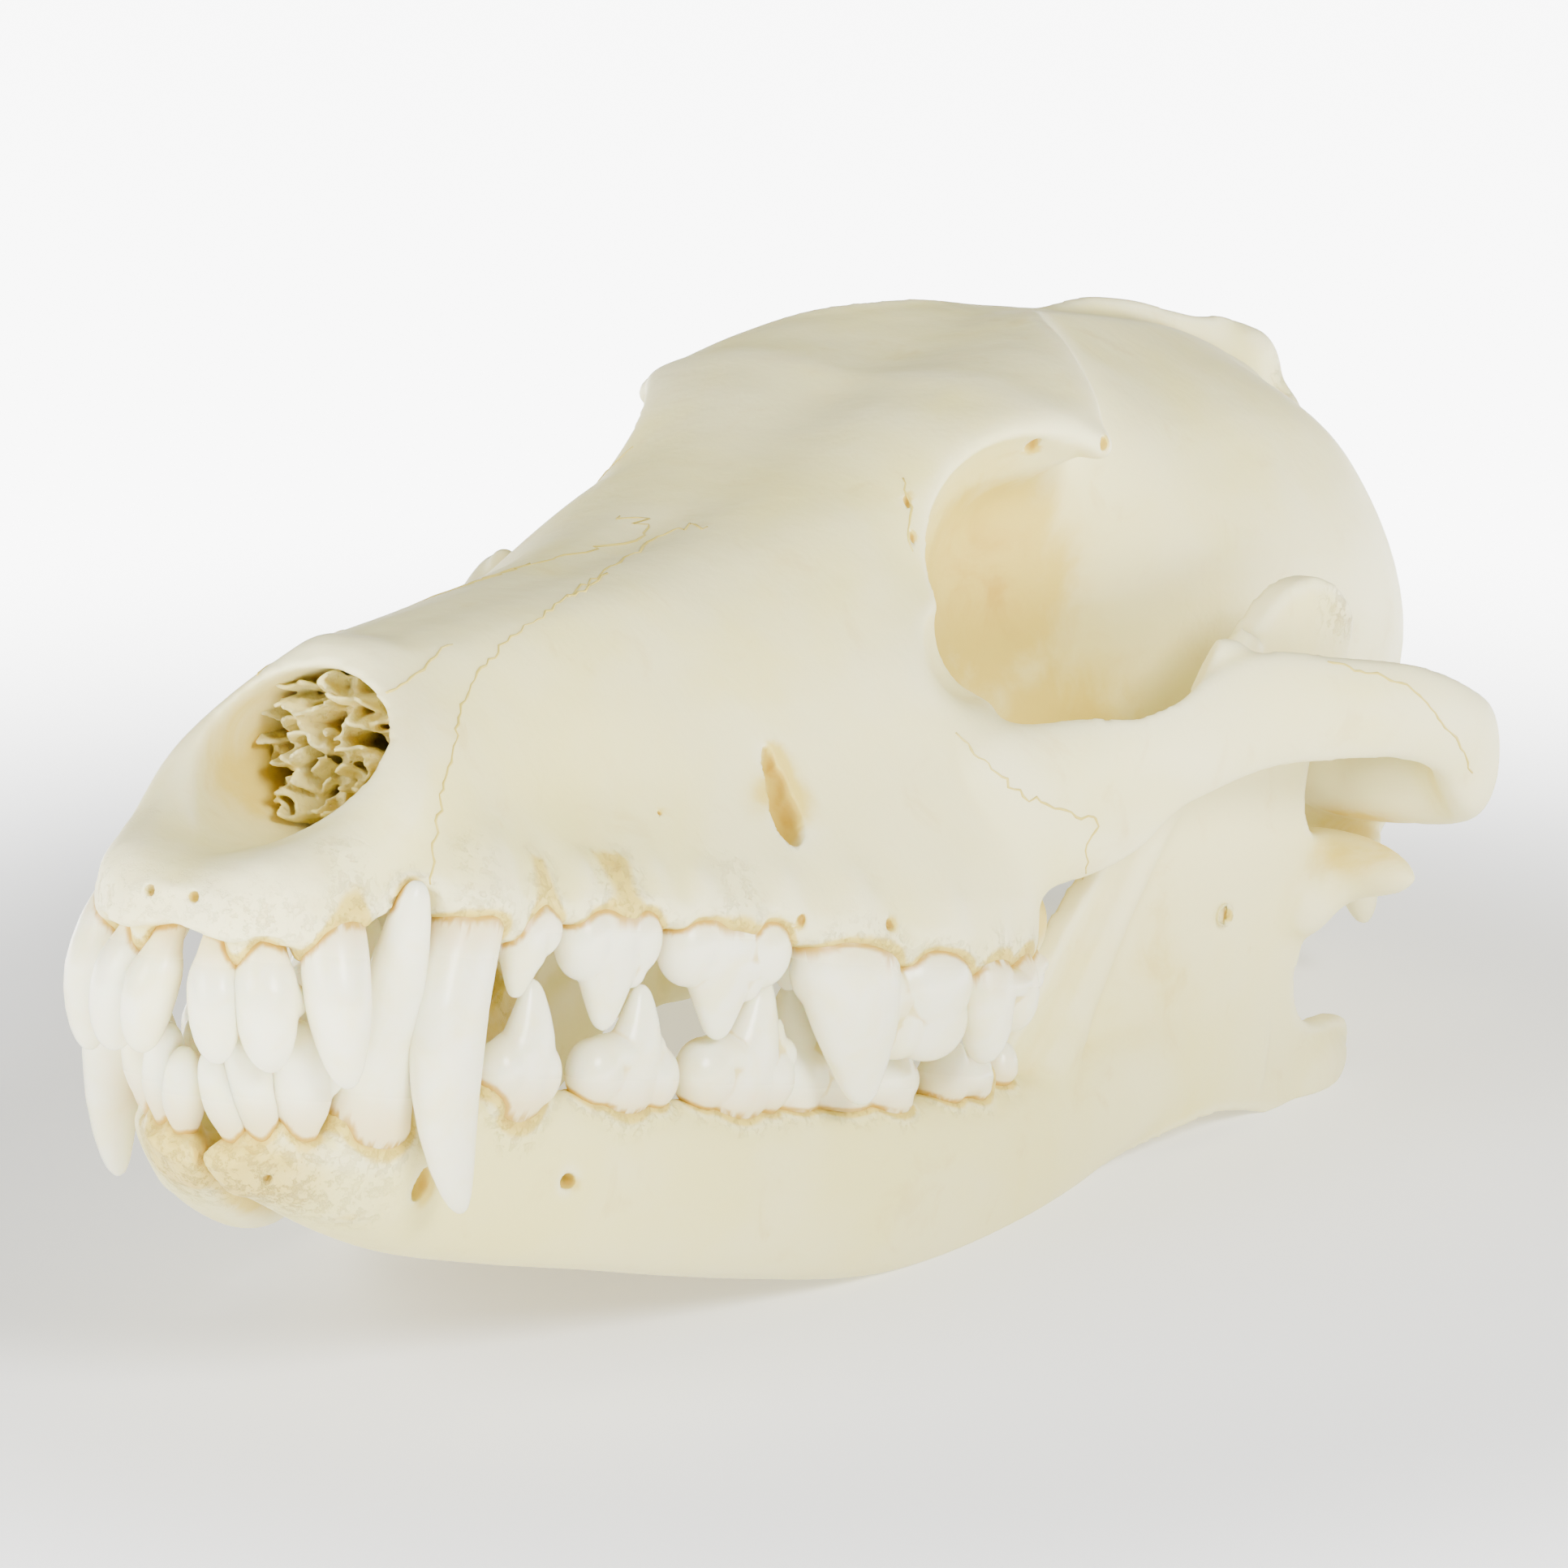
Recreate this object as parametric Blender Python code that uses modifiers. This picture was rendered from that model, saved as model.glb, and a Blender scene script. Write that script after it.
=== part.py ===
"""Coyote skull with its lower jaw, life size, resting on the jaw as on a museum shelf.

Every size below is in millimetres in the skull's own frame: X to the animal's left, Y from the
front teeth to the back of the head, Z up from the level of the upper tooth sockets. The empty
named stance tips that frame back on the jaw and stands it on the floor at Z = 0.
"""

import math

import bmesh
import bpy
import numpy as np
from mathutils import Euler, Matrix, Vector

MM = 0.001

# The stance: how far the snout points up, and how far the floor is below the tooth sockets
SNOUT_UP = 12.83
FLOOR_BELOW = 44.6

# Fineness
STATION_GAP = 3.0
SPLINE_STEPS = 4
VOXEL = 0.9
CRANIUM_FACES = 5000
JAW_FACES = 1000
EGG_SIDES = 20
BAR_SIDES = 12
JAW_SIDES = 16
NOSE_SIDES = 20
CLEARANCE = 0.3

# The cranium's long hull as half sections from the front teeth to the back of the head:
# y, roof z, crown x z, rim x z, shoulder x z, side x z, lower edge x z, base z
HULL = (
    (-5.0, 3.0, 1.4, 3.0, 2.8, 2.7, 3.8, 2.2, 4.3, 1.4, 3.4, -0.4, 0.2),
    (-3.2, 4.6, 2.6, 4.8, 5.2, 5.0, 6.8, 4.2, 7.6, 2.4, 6.4, -1.0, 0.0),
    (-0.6, 5.6, 3.4, 6.0, 6.4, 6.4, 8.6, 5.4, 9.8, 3.0, 8.8, -0.8, 0.6),
    (3.5, 6.4, 4.4, 7.2, 7.8, 8.0, 10.2, 6.6, 11.3, 3.8, 10.8, 0.4, 1.4),
    (7.0, 8.6, 5.0, 9.4, 8.9, 10.2, 11.3, 8.4, 12.3, 5.6, 12.0, 2.0, 2.4),
    (11.0, 13.0, 5.0, 13.8, 8.9, 14.6, 11.8, 12.0, 13.0, 8.0, 14.0, 2.8, 3.2),
    (15.5, 21.8, 2.6, 21.8, 5.0, 20.8, 9.8, 16.5, 12.9, 9.8, 16.8, 2.4, 3.4),
    (22.0, 23.4, 3.0, 23.3, 6.0, 21.9, 9.8, 17.2, 12.7, 11.0, 16.6, 2.2, 3.8),
    (30.0, 25.0, 3.2, 24.9, 6.6, 23.3, 10.0, 18.4, 13.4, 12.0, 18.8, 2.2, 4.4),
    (40.0, 27.0, 3.4, 26.9, 7.0, 25.4, 11.2, 20.0, 15.0, 12.6, 21.4, 2.0, 4.6),
    (50.0, 29.0, 3.8, 29.0, 8.0, 27.4, 13.2, 21.6, 18.0, 13.6, 24.8, 1.4, 4.4),
    (60.0, 31.4, 4.6, 31.4, 9.6, 29.4, 15.8, 24.0, 21.6, 15.2, 28.2, 0.2, 4.0),
    (70.0, 34.6, 5.6, 34.6, 11.6, 32.6, 18.4, 27.0, 24.4, 18.0, 30.8, -1.2, 3.6),
    (78.0, 37.8, 7.0, 37.8, 13.4, 35.6, 19.4, 29.6, 26.4, 19.6, 31.4, -1.8, 3.4),
    (84.0, 40.7, 8.2, 40.5, 14.7, 37.4, 18.9, 30.6, 27.4, 19.6, 31.2, -1.6, 3.6),
    (88.0, 42.9, 9.2, 42.6, 15.6, 39.6, 17.2, 34.0, 24.0, 19.0, 30.0, -1.0, 4.4),
    (93.0, 45.6, 10.6, 45.4, 17.2, 42.7, 14.4, 36.0, 15.0, 20.0, 26.6, 0.6, 6.0),
    (97.0, 47.4, 12.0, 47.2, 19.0, 44.6, 12.6, 37.0, 11.6, 22.0, 15.0, 4.5, 8.4),
    (101.0, 49.2, 13.4, 49.0, 21.2, 45.4, 11.6, 37.0, 10.4, 24.0, 10.0, 8.0, 10.0),
    (106.0, 50.2, 14.2, 50.4, 23.2, 45.2, 12.2, 37.6, 11.2, 24.5, 10.2, 8.4, 10.4),
    (110.0, 51.0, 13.2, 52.0, 20.8, 47.8, 14.6, 39.0, 13.4, 25.5, 10.8, 8.8, 10.2),
    (115.0, 52.6, 10.2, 53.6, 15.4, 52.2, 17.6, 41.5, 17.2, 27.5, 11.8, 9.4, 9.8),
    (122.0, 54.6, 5.2, 55.3, 9.2, 54.8, 19.4, 44.0, 22.0, 29.0, 13.4, 9.8, 9.2),
    (132.0, 56.0, 2.6, 56.1, 6.0, 55.2, 20.4, 45.6, 26.0, 30.5, 16.2, 9.8, 8.6),
    (145.0, 56.6, 3.0, 56.4, 7.8, 55.4, 22.4, 47.0, 29.0, 31.5, 19.4, 9.4, 7.2),
    (158.0, 56.4, 3.2, 56.2, 8.2, 54.8, 23.0, 46.6, 29.2, 31.0, 21.4, 9.0, 6.2),
    (168.0, 55.2, 3.2, 55.0, 8.2, 53.0, 20.8, 43.8, 27.6, 29.4, 21.2, 9.4, 5.6),
    (177.0, 53.2, 2.8, 53.0, 7.2, 50.8, 16.6, 39.6, 23.2, 27.0, 17.8, 10.6, 6.6),
    (184.0, 49.2, 2.2, 48.8, 5.6, 46.4, 10.6, 37.0, 15.2, 25.6, 12.0, 13.0, 9.0),
    (187.5, 40.0, 1.0, 39.6, 2.6, 38.4, 5.6, 33.0, 8.6, 25.0, 6.6, 17.4, 14.0),
)

# Cheek arch from the upper jaw round to the temple: x, y, z of its middle, half thickness, half height
ARCH = (
    (20.0, 73.0, 12.0, 3.4, 6.0),
    (26.5, 80.0, 12.0, 4.0, 8.0),
    (30.6, 87.0, 12.8, 3.4, 7.6),
    (34.0, 93.6, 15.0, 2.7, 6.8),
    (37.2, 100.5, 18.8, 2.3, 5.4),
    (40.0, 109.0, 22.4, 2.1, 5.4),
    (43.2, 117.6, 23.2, 2.1, 4.8),
    (46.4, 127.2, 23.4, 2.2, 4.4),
    (48.2, 134.4, 22.0, 2.4, 4.4),
    (47.6, 139.8, 19.2, 3.2, 5.6),
    (42.0, 143.8, 16.6, 3.8, 4.2),
    (33.0, 146.0, 17.6, 3.6, 4.6),
    (24.0, 148.0, 20.0, 3.0, 6.0),
)

# Lumps fused into the cranium on both sides: centre, radii, turn about X, Y and Z
LUMPS = {
    "jugal_peak": ((37.5, 107.8, 24.2), (1.9, 3.6, 3.8), (0, 0, -22)),
    "brow_horn": ((21.5, 106.2, 45.2), (2.8, 3.0, 1.7), (0, 28, 20)),
    "jaw_socket": ((38.0, 141.6, 16.2), (11.4, 4.6, 4.0), (0, 0, -8)),
    "socket_back": ((33.0, 145.0, 10.0), (5.4, 1.9, 5.0), (12, 0, -8)),
    "ear_capsule": ((13.6, 156.0, 6.6), (7.2, 11.4, 8.6), (6, 0, -14)),
    "crest_end": ((1.4, 184.0, 53.4), (2.6, 5.2, 3.8), (-24, 0, 0)),
    "mastoid": ((24.2, 168.0, 14.0), (4.4, 6.2, 8.6), (14, 14, 0)),
    "neck_process": ((23.6, 172.4, 6.2), (2.6, 2.8, 6.8), (8, -12, 0)),
    "neck_condyle": ((8.6, 183.6, 13.4), (4.8, 6.0, 7.2), (-24, 26, 0)),
    "canine_root": ((12.6, 18.8, 7.4), (3.0, 4.4, 8.6), (-30, -10, 0)),
    "carnassial_root": ((25.2, 61.6, 4.4), (2.6, 7.6, 5.0), (0, -8, -20)),
    "rear_of_row": ((23.0, 94.6, 1.6), (5.0, 5.6, 5.0), (0, 0, 0)),
}

# Top line of the crest along the middle of the skull: y, z
SAGITTAL = (
    (136.0, 55.8),
    (146.0, 57.9),
    (156.0, 58.4),
    (165.0, 57.9),
    (172.0, 57.6),
    (178.0, 58.1),
    (183.0, 57.6),
    (187.0, 56.0),
)
# Crest over the back of the head, from the middle to the ear: x, y, z
NUCHAL = (
    (0.0, 188.4, 54.4),
    (3.0, 187.2, 53.0),
    (6.6, 185.4, 50.0),
    (12.4, 181.6, 43.6),
    (19.6, 176.6, 36.0),
    (24.4, 173.6, 28.0),
    (25.8, 169.6, 19.0),
)
# Half thickness of both crests at the top and at the foot, how steeply they lean inwards for each
# millimetre from the middle, how far they reach down, and the nuchal crest's lean to the front
CREST_TOP = 0.75
CREST_FOOT = 2.25
CREST_TUCK = 0.75
CREST_DOWN = 16.0
NUCHAL_LEAN = 9.0
SAGITTAL_DEPTH = 9.0
NUCHAL_DEPTH = 13.0

# Wing plates behind the palate: x, y, z of the middle, half thickness, half height
WING_PLATE = (
    (9.4, 86.0, 6.0, 1.6, 3.6),
    (9.2, 97.0, 6.0, 1.3, 5.0),
    (8.6, 106.0, 6.8, 1.2, 5.6),
    (8.2, 113.0, 5.8, 1.1, 4.2),
    (9.4, 120.0, 9.4, 1.4, 2.6),
)

# Openings on both sides: centre, radii, turn
HOLLOWS = {
    "orbit": ((26.2, 96.8, 32.2), (15.0, 14.4, 14.4), (0, -24.1, -27.8)),
    "cheek_canal": ((20.9, 56.6, 12.2), (1.3, 3.8, 4.2), (6, 16, -4)),
    "ear_hole": ((26.6, 156.5, 13.0), (7.0, 2.8, 3.2), (0, 0, 0)),
    "canine_notch": ((14.4, 9.0, 2.4), (4.0, 3.4, 5.2), (0, -4, 0)),
}
NECK_HOLE = ((0.0, 183.0, 21.5), (7.4, 13.0, 6.6), (-14, 0, 0))
THROAT = ((0.0, 103.0, 7.0), (6.6, 17.0, 4.6), (6, 0, 0))

# Nose cavity: y, half width, floor z, ceiling z
NOSE = (
    (-10.0, 7.6, 5.6, 24.0),
    (-2.0, 7.6, 5.4, 24.0),
    (4.0, 8.0, 6.0, 24.0),
    (9.0, 8.4, 6.4, 23.0),
    (14.0, 8.2, 6.6, 20.8),
    (20.0, 7.6, 6.8, 20.8),
    (30.0, 7.4, 7.6, 21.4),
    (38.0, 6.6, 8.8, 20.6),
    (42.0, 4.0, 11.0, 18.0),
)
# Scrolls of thin bone in the nose: z, y of the front edge, half width
SCROLLS = (
    (9.4, 20.5, 3.4),
    (11.6, 17.8, 5.0),
    (14.0, 18.8, 5.6),
    (16.4, 17.2, 5.0),
    (18.6, 19.6, 3.4),
)
SCROLL_FRONT = 19.0
SCROLL_BACK = 34.0
SCROLL_FOOT = 6.2
SCROLL_TOP = 19.4
SCROLL_HALF = 0.5
LEAF_SHORT = 1.0

# Half of the lower jaw: y, top x z and half thickness, bottom x z and half thickness
JAW = (
    (2.8, 3.4, -17.4, 2.4, 1.6, -19.4, 1.6),
    (5.0, 4.4, -17.0, 3.6, 1.4, -21.0, 1.6),
    (9.0, 6.0, -16.4, 4.8, 1.4, -22.8, 1.8),
    (14.0, 7.8, -15.6, 5.2, 2.0, -24.8, 2.2),
    (20.0, 10.0, -13.8, 4.7, 4.4, -26.4, 3.0),
    (30.0, 13.4, -12.7, 4.2, 10.4, -27.4, 4.0),
    (40.0, 16.4, -12.9, 4.2, 15.0, -27.8, 4.2),
    (50.0, 19.2, -13.6, 4.3, 18.4, -28.4, 4.3),
    (60.0, 21.8, -14.0, 4.4, 21.0, -28.8, 4.5),
    (70.0, 23.8, -13.7, 4.5, 23.2, -29.0, 4.6),
    (82.0, 25.4, -13.3, 4.5, 25.0, -28.2, 4.5),
    (94.0, 26.6, -11.8, 4.0, 26.2, -26.2, 4.0),
    (104.0, 27.6, -9.2, 3.6, 27.4, -22.6, 3.6),
    (113.5, 29.2, -6.2, 3.4, 28.8, -18.4, 3.6),
    (122.0, 31.0, -4.2, 2.8, 30.6, -15.9, 2.8),
    (131.0, 33.2, -4.2, 2.2, 32.8, -15.3, 2.2),
)
# How full the corners of its section are: 1 is a plain oval, less is boxier
JAW_FULLNESS = 0.8
# Side outline of the jaw's rear wing: y, z
RAMUS = (
    (84.0, -15.3),
    (91.0, -11.3),
    (96.0, -4.3),
    (101.0, 3.7),
    (107.0, 11.7),
    (111.8, 19.8),
    (117.4, 27.6),
    (121.2, 32.4),
    (125.0, 34.4),
    (129.6, 34.2),
    (134.3, 31.4),
    (134.4, 27.0),
    (131.4, 20.0),
    (131.0, 14.0),
    (133.8, 11.0),
    (138.8, 11.4),
    (140.6, 8.6),
    (138.2, 5.0),
    (135.6, 1.0),
    (135.0, -3.0),
    (137.0, -6.2),
    (141.2, -7.2),
    (147.2, -6.6),
    (148.8, -9.6),
    (144.8, -14.2),
    (137.2, -15.8),
    (126.8, -15.2),
    (116.0, -17.9),
    (103.7, -22.3),
    (88.0, -24.2),
)
RAMUS_STEPS = 3
RAMUS_HALF = 1.3
# How far out the middle of the wing stands: y, x
RAMUS_LINE = (
    (84.0, 25.8),
    (94.0, 26.8),
    (104.0, 28.4),
    (112.0, 30.6),
    (121.0, 32.9),
    (131.0, 34.6),
    (143.0, 35.2),
    (150.0, 35.0),
)
# How far out it leans for each millimetre above a level
RAMUS_LEAN = 0.06
RAMUS_LEVEL = 10.0
# Where the flat wing is cut across so that it can bend outwards: first y, last y and gap
RAMUS_BENDS = (92, 148, 4)
# Ridge up the outer face of the wing: x, y, z, half thickness, half width
RAMUS_FRONT = (
    (27.6, 95.6, -18.4, 2.2, 3.2),
    (28.2, 101.6, -7.4, 2.0, 2.8),
    (30.2, 107.4, 6.2, 1.8, 2.4),
    (32.4, 112.8, 18.8, 1.6, 2.2),
    (34.4, 118.4, 28.6, 1.4, 1.8),
)
JAW_LUMPS = {
    "jaw_condyle": ((37.2, 137.8, 8.2), (8.6, 3.2, 3.2), (0, 4, -10)),
    "jaw_neck": ((35.8, 135.0, 5.0), (3.0, 5.0, 3.4), (30, 0, 0)),
    "jaw_angle": ((33.4, 142.4, -11.4), (3.4, 6.4, 3.8), (20, 0, -6)),
}

# Teeth of the left side. A tooth is: name, neck centre x y z, heading of its row in degrees from
# straight back towards the left, root depth, cusps. A cusp is: how far its middle is along the row
# and outwards, length and width at the neck, and how far its tip is along, outwards and proud.
UPPER_TEETH = (
    ("incisor_1", (2.2, -1.2, -1.4), 82, 5.0, ((0.0, 0.0, 4.1, 4.8, 0.0, 0.6, 9.1),)),
    ("incisor_2", (6.3, 0.6, -0.6), 62, 5.0, ((0.0, 0.0, 5.2, 5.0, 0.3, 1.0, 10.1),)),
    ("incisor_3", (10.4, 4.0, 0.6), 42, 6.0, ((0.0, 0.0, 5.4, 4.8, 0.0, 1.4, 11.5),)),
    ("canine", (14.8, 16.6, 2.4), 8, 9.0, ((0.0, 0.0, 7.6, 5.4, 1.0, 1.4, 24.0),)),
    ("premolar_1", (16.2, 24.4, 2.6), 8, 4.0, ((0.0, 0.0, 5.6, 3.8, -0.4, 0.4, 7.0),)),
    (
        "premolar_2",
        (17.8, 34.2, 2.8),
        13,
        4.0,
        ((-0.8, 0.0, 10.4, 4.0, -0.4, 0.5, 9.8), (4.0, 0.0, 4.6, 3.6, 4.4, 0.0, 4.6)),
    ),
    (
        "premolar_3",
        (21.4, 47.4, 2.4),
        20,
        4.0,
        ((-1.2, 0.0, 11.6, 4.2, 0.6, 0.4, 10.2), (4.6, 0.0, 5.8, 4.0, 5.0, 0.0, 5.6)),
    ),
    (
        "premolar_4",
        (27.0, 64.6, 0.6),
        18,
        5.0,
        (
            (-3.8, 0.6, 12.4, 6.4, -1.0, 1.6, 13.4),
            (3.2, 0.4, 7.0, 5.6, 3.2, 0.9, 9.4),
            (7.0, 0.3, 6.4, 5.2, 7.6, 0.6, 9.2),
            (-6.0, -3.4, 4.8, 4.4, -5.6, -3.6, 5.0),
        ),
    ),
    (
        "molar_1",
        (28.4, 80.2, -1.2),
        8,
        4.0,
        (
            (-2.4, 3.2, 7.4, 6.0, -2.0, 4.0, 8.2),
            (3.0, 2.8, 6.4, 5.8, 3.4, 3.2, 5.4),
            (0.4, -3.4, 8.0, 8.0, 0.4, -3.0, 4.4),
        ),
    ),
    (
        "molar_2",
        (27.2, 90.2, -0.6),
        2,
        3.4,
        ((-0.6, 2.4, 4.6, 4.6, -0.4, 3.2, 3.2), (0.4, -2.0, 4.8, 5.6, 0.4, -1.8, 2.2)),
    ),
)
LOWER_TEETH = (
    ("incisor_1", (1.7, 4.6, -17.4), 84, 4.0, ((0.0, 0.0, 3.0, 3.2, 0.0, 3.4, 6.6),)),
    ("incisor_2", (4.3, 5.4, -17.0), 70, 4.0, ((0.0, 0.0, 3.4, 3.4, -1.1, 3.0, 7.6),)),
    ("incisor_3", (7.0, 7.6, -16.6), 52, 4.0, ((0.0, 0.0, 4.2, 3.8, -1.4, 2.6, 8.8),)),
    ("canine", (9.6, 13.0, -15.6), 30, 7.0, ((0.0, 0.0, 7.4, 5.4, -1.2, 6.0, 20.6),)),
    ("premolar_1", (12.2, 21.0, -13.2), 14, 3.0, ((0.0, 0.0, 3.4, 3.0, 0.2, 0.0, 3.4),)),
    (
        "premolar_2",
        (14.8, 28.2, -12.9),
        15,
        4.0,
        ((-0.6, 0.0, 7.8, 3.8, 0.6, 0.4, 9.2), (3.0, 0.0, 3.8, 3.4, 3.4, 0.0, 3.8)),
    ),
    (
        "premolar_3",
        (17.4, 39.4, -13.1),
        15,
        4.0,
        ((-0.9, 0.0, 10.2, 4.2, 0.8, 0.6, 9.2), (4.2, 0.0, 4.8, 3.8, 4.8, 0.0, 4.8)),
    ),
    (
        "premolar_4",
        (20.6, 51.6, -13.4),
        14,
        4.0,
        ((-1.2, 0.0, 10.8, 4.6, 1.6, 0.8, 10.2), (4.4, 0.0, 5.4, 4.4, 4.8, 0.2, 6.8)),
    ),
    (
        "molar_1",
        (24.2, 67.6, -13.6),
        13,
        5.0,
        (
            (-6.4, 0.0, 8.4, 5.6, -6.0, -0.6, 7.2),
            (-0.4, 0.0, 9.4, 6.8, -0.2, -0.6, 11.4),
            (6.8, 0.0, 8.4, 7.0, 6.8, -0.6, 6.0),
        ),
    ),
    (
        "molar_2",
        (26.2, 84.4, -12.6),
        12,
        3.6,
        ((-1.8, 0.0, 5.0, 5.6, -1.8, 0.2, 4.6), (2.2, 0.0, 4.6, 5.0, 2.2, 0.0, 3.6)),
    ),
    ("molar_3", (26.8, 91.4, -11.2), 10, 3.0, ((0.0, 0.0, 4.0, 3.8, 0.0, 0.0, 2.4),)),
)
# How a cusp thins from its neck to its tip: share of the height, share of the size
CUSP_PROFILE = ((0.0, 0.94), (0.26, 1.0), (0.64, 0.68), (0.95, 0.2))
ROOT_SHRINK = 0.6
ROOT_LEAN = 0.38
CUSP_SIDES = 8
SMALL_CUSP_SIDES = 6
SMALL_CUSP = 8.0

# Where the cranium is parted: y between face and braincase, and for the left cheekbone the room it
# takes and a point and normal of the two slanted sutures, both normals pointing backwards
BRAINCASE_FROM = 118.0
CHEEK_LOW = (30.0, 60.0, 3.0)
CHEEK_HIGH = (70.0, 136.0, 60.0)
CHEEK_FRONT = ((36.0, 82.0, 11.0), (0.60, 0.78, 0.16))
CHEEK_BACK = ((48.6, 124.0, 22.5), (0.0, 0.43, 0.90))

BONE_COLOUR = (0.80, 0.74, 0.60, 1.0)
SCROLL_COLOUR = (0.72, 0.60, 0.38, 1.0)
BONE_ROUGHNESS = 0.5
FAR = 300.0


def along(knots, at):
    """Smooth value at a place along (place, value) knots, flat beyond both ends."""
    places = np.array([knot[0] for knot in knots], float)
    values = np.array([knot[1] for knot in knots], float)
    steps = np.diff(places)
    rises = np.diff(values) / steps
    slopes = np.empty(len(places))
    slopes[0] = rises[0]
    slopes[-1] = rises[-1]
    slopes[1:-1] = (rises[:-1] * steps[1:] + rises[1:] * steps[:-1]) / (steps[1:] + steps[:-1])
    at = min(max(at, places[0]), places[-1])
    i = min(int(np.searchsorted(places, at, side="right")) - 1, len(steps) - 1)
    t = (at - places[i]) / steps[i]
    return float(
        (2 * t**3 - 3 * t**2 + 1) * values[i]
        + (t**3 - 2 * t**2 + t) * steps[i] * slopes[i]
        + (3 * t**2 - 2 * t**3) * values[i + 1]
        + (t**3 - t**2) * steps[i] * slopes[i + 1]
    )


def row_at(table, at):
    """One row of a table whose first column is the place along it."""
    return [along([(row[0], row[k]) for row in table], at) for k in range(1, len(table[0]))]


def places_along(table, gap):
    first = table[0][0]
    last = table[-1][0]
    count = max(2, round((last - first) / gap) + 1)
    return [first + (last - first) * k / (count - 1) for k in range(count)]


def rounded(points, closed, steps):
    """Catmull-Rom curve through the points."""
    count = len(points)
    spans = count if closed else count - 1
    curve = []
    for i in range(spans):
        near = []
        for k in (-1, 0, 1, 2):
            at = (i + k) % count if closed else min(max(i + k, 0), count - 1)
            near.append(np.array(points[at], float))
        a, b, c, d = near
        for step in range(steps):
            t = step / steps
            square = (2 * a - 5 * b + 4 * c - d) * t**2
            cube = (3 * b - a - 3 * c + d) * t**3
            curve.append(0.5 * (2 * b + (c - a) * t + square + cube))
    if not closed:
        curve.append(np.array(points[-1], float))
    return curve


def clear_scene():
    for thing in list(bpy.data.objects):
        bpy.data.objects.remove(thing, do_unlink=True)
    for group in list(bpy.data.collections):
        bpy.data.collections.remove(group)


def make_material(name, colour):
    made = bpy.data.materials.new(name)
    made.use_nodes = True
    shader = made.node_tree.nodes["Principled BSDF"]
    shader.inputs["Base Color"].default_value = colour
    shader.inputs["Roughness"].default_value = BONE_ROUGHNESS
    return made


def add_object(name, mesh, group):
    made = bpy.data.objects.new(name, mesh)
    group.objects.link(made)
    return made


def from_bmesh(name, shape, group):
    shape.normal_update()
    bmesh.ops.recalc_face_normals(shape, faces=shape.faces[:])
    mesh = bpy.data.meshes.new(name)
    shape.to_mesh(mesh)
    shape.free()
    return add_object(name, mesh, group)


def loft(name, rings, group):
    """Closed skin over rings of equally many points, with a fan of faces over each end."""
    shape = bmesh.new()
    loops = [[shape.verts.new(Vector(point) * MM) for point in ring] for ring in rings]
    count = len(loops[0])
    for near, far in zip(loops, loops[1:]):
        for k in range(count):
            shape.faces.new((near[k], near[(k + 1) % count], far[(k + 1) % count], far[k]))
    for ring in (loops[0], loops[-1]):
        middle = shape.verts.new(sum((v.co for v in ring), Vector()) / count)
        for k in range(count):
            shape.faces.new((ring[k], ring[(k + 1) % count], middle))
    return from_bmesh(name, shape, group)


def egg(name, centre, radii, turn, group):
    """Egg-shaped lump or cutter from a sphere."""
    shape = bmesh.new()
    bmesh.ops.create_uvsphere(shape, u_segments=EGG_SIDES, v_segments=EGG_SIDES * 3 // 5, radius=1.0)
    spin = Euler([math.radians(angle) for angle in turn]).to_matrix()
    for vert in shape.verts:
        stretched = Vector([vert.co[k] * radii[k] for k in range(3)])
        vert.co = (spin @ stretched + Vector(centre)) * MM
    return from_bmesh(name, shape, group)


def slab(name, low, high, group):
    """Plain box between two corners."""
    shape = bmesh.new()
    bmesh.ops.create_cube(shape, size=1.0)
    for vert in shape.verts:
        vert.co = Vector([(low[k] + high[k]) / 2 + vert.co[k] * (high[k] - low[k]) for k in range(3)]) * MM
    return from_bmesh(name, shape, group)


def bar(name, spine, group):
    """Bar of oval section along spine rows: x, y, z, half thickness sideways, half height."""
    rows = rounded(spine, False, SPLINE_STEPS)
    rings = []
    for i, row in enumerate(rows):
        ahead = Vector(rows[min(i + 1, len(rows) - 1)][:3]) - Vector(rows[max(i - 1, 0)][:3])
        ahead.normalize()
        up = Vector((0, 0, 1)) if abs(ahead.z) < 0.9 else Vector((0, -1, 0))
        up = (up - ahead * up.dot(ahead)).normalized()
        side = ahead.cross(up)
        centre = Vector(row[:3])
        ring = []
        for k in range(BAR_SIDES):
            angle = math.tau * k / BAR_SIDES
            ring.append(centre + side * row[3] * math.cos(angle) + up * row[4] * math.sin(angle))
        rings.append(ring)
    return loft(name, rings, group)


def hull_ring(y):
    row = row_at(HULL, y)
    half = list(zip(row[1:-1:2], row[2:-1:2]))
    outline = [(0.0, row[0])] + half + [(0.0, row[-1])] + [(-x, z) for x, z in reversed(half)]
    return [(x, y, z) for x, z in rounded(outline, True, SPLINE_STEPS)]


def nose_ring(y):
    half, floor, ceiling = row_at(NOSE, y)
    middle = (floor + ceiling) / 2
    tall = (ceiling - floor) / 2
    turns = [math.tau * k / NOSE_SIDES for k in range(NOSE_SIDES)]
    return [(half * math.cos(turn), y, middle + tall * math.sin(turn)) for turn in turns]


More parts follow.
